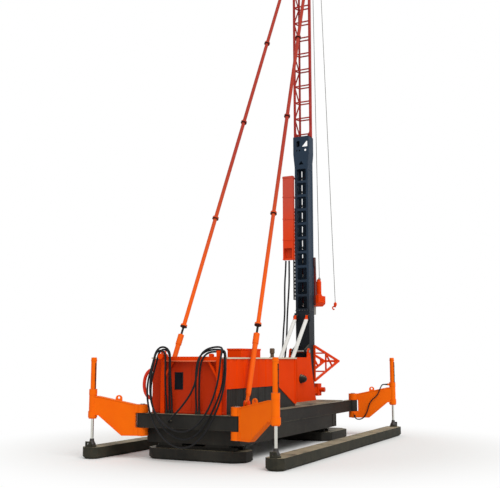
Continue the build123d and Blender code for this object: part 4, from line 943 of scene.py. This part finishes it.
def make_stage():
    world = bpy.data.worlds.new("sky")
    bpy.context.scene.world = world
    world.use_nodes = True
    nodes, links = world.node_tree.nodes, world.node_tree.links
    seen = nodes.new("ShaderNodeLightPath")
    either = nodes.new("ShaderNodeMath")
    either.operation = "MAXIMUM"
    links.new(seen.outputs["Is Camera Ray"], either.inputs[0])
    both = nodes.new("ShaderNodeMath")
    both.operation = "MAXIMUM"
    links.new(seen.outputs["Is Glossy Ray"], both.inputs[0])
    links.new(seen.outputs["Is Transmission Ray"], both.inputs[1])
    links.new(both.outputs[0], either.inputs[1])
    level = nodes.new("ShaderNodeMapRange")
    links.new(either.outputs[0], level.inputs["Value"])
    level.inputs["To Min"].default_value = SKY_LEVEL
    level.inputs["To Max"].default_value = 1.0
    links.new(level.outputs[0], nodes["Background"].inputs["Strength"])
    nodes["Background"].inputs["Color"].default_value = (1, 1, 1, 1)

    bpy.ops.object.select_all(action="DESELECT")
    bpy.ops.mesh.primitive_plane_add(size=160, location=(0, 0, -0.002))
    floor = bpy.context.object
    floor.name = "floor"
    g = Graph("pale floor")
    g.put(g.shader.inputs["Base Color"], srgb(240, 240, 238))
    g.shader.inputs["Roughness"].default_value = 0.9
    g.gloss(0.0)
    away = g.nodes.new("ShaderNodeVectorMath")
    away.operation = "LENGTH"
    g.put(away.inputs[0], g.place)
    seen = g.add("ShaderNodeLightPath")
    rays = g.math("MAXIMUM", seen.outputs["Is Camera Ray"], seen.outputs["Is Glossy Ray"])
    rays = g.math("MAXIMUM", rays, seen.outputs["Is Transmission Ray"])
    far = g.math("MULTIPLY", g.ramp(away.outputs["Value"], FLOOR_FADE[0], FLOOR_FADE[1]), rays)
    glow = g.add("ShaderNodeEmission", Color=(1, 1, 1, 1), Strength=1.0)
    blend = g.add("ShaderNodeMixShader")
    g.put(blend.inputs["Fac"], far)
    g.links.new(g.shader.outputs[0], blend.inputs[1])
    g.links.new(glow.outputs[0], blend.inputs[2])
    g.links.new(blend.outputs[0], g.nodes["Material Output"].inputs["Surface"])
    floor.data.materials.append(g.material)

    lamp = bpy.data.lights.new("soft sun", "SUN")
    lamp.energy = SUN_LEVEL
    lamp.angle = math.radians(40)
    sun = bpy.data.objects.new("soft sun", lamp)
    sun.rotation_euler = Vector(SUN_WAY).to_track_quat("-Z", "Y").to_euler()
    bpy.context.scene.collection.objects.link(sun)


make_stage()
bpy.context.scene.view_settings.view_transform = "Standard"
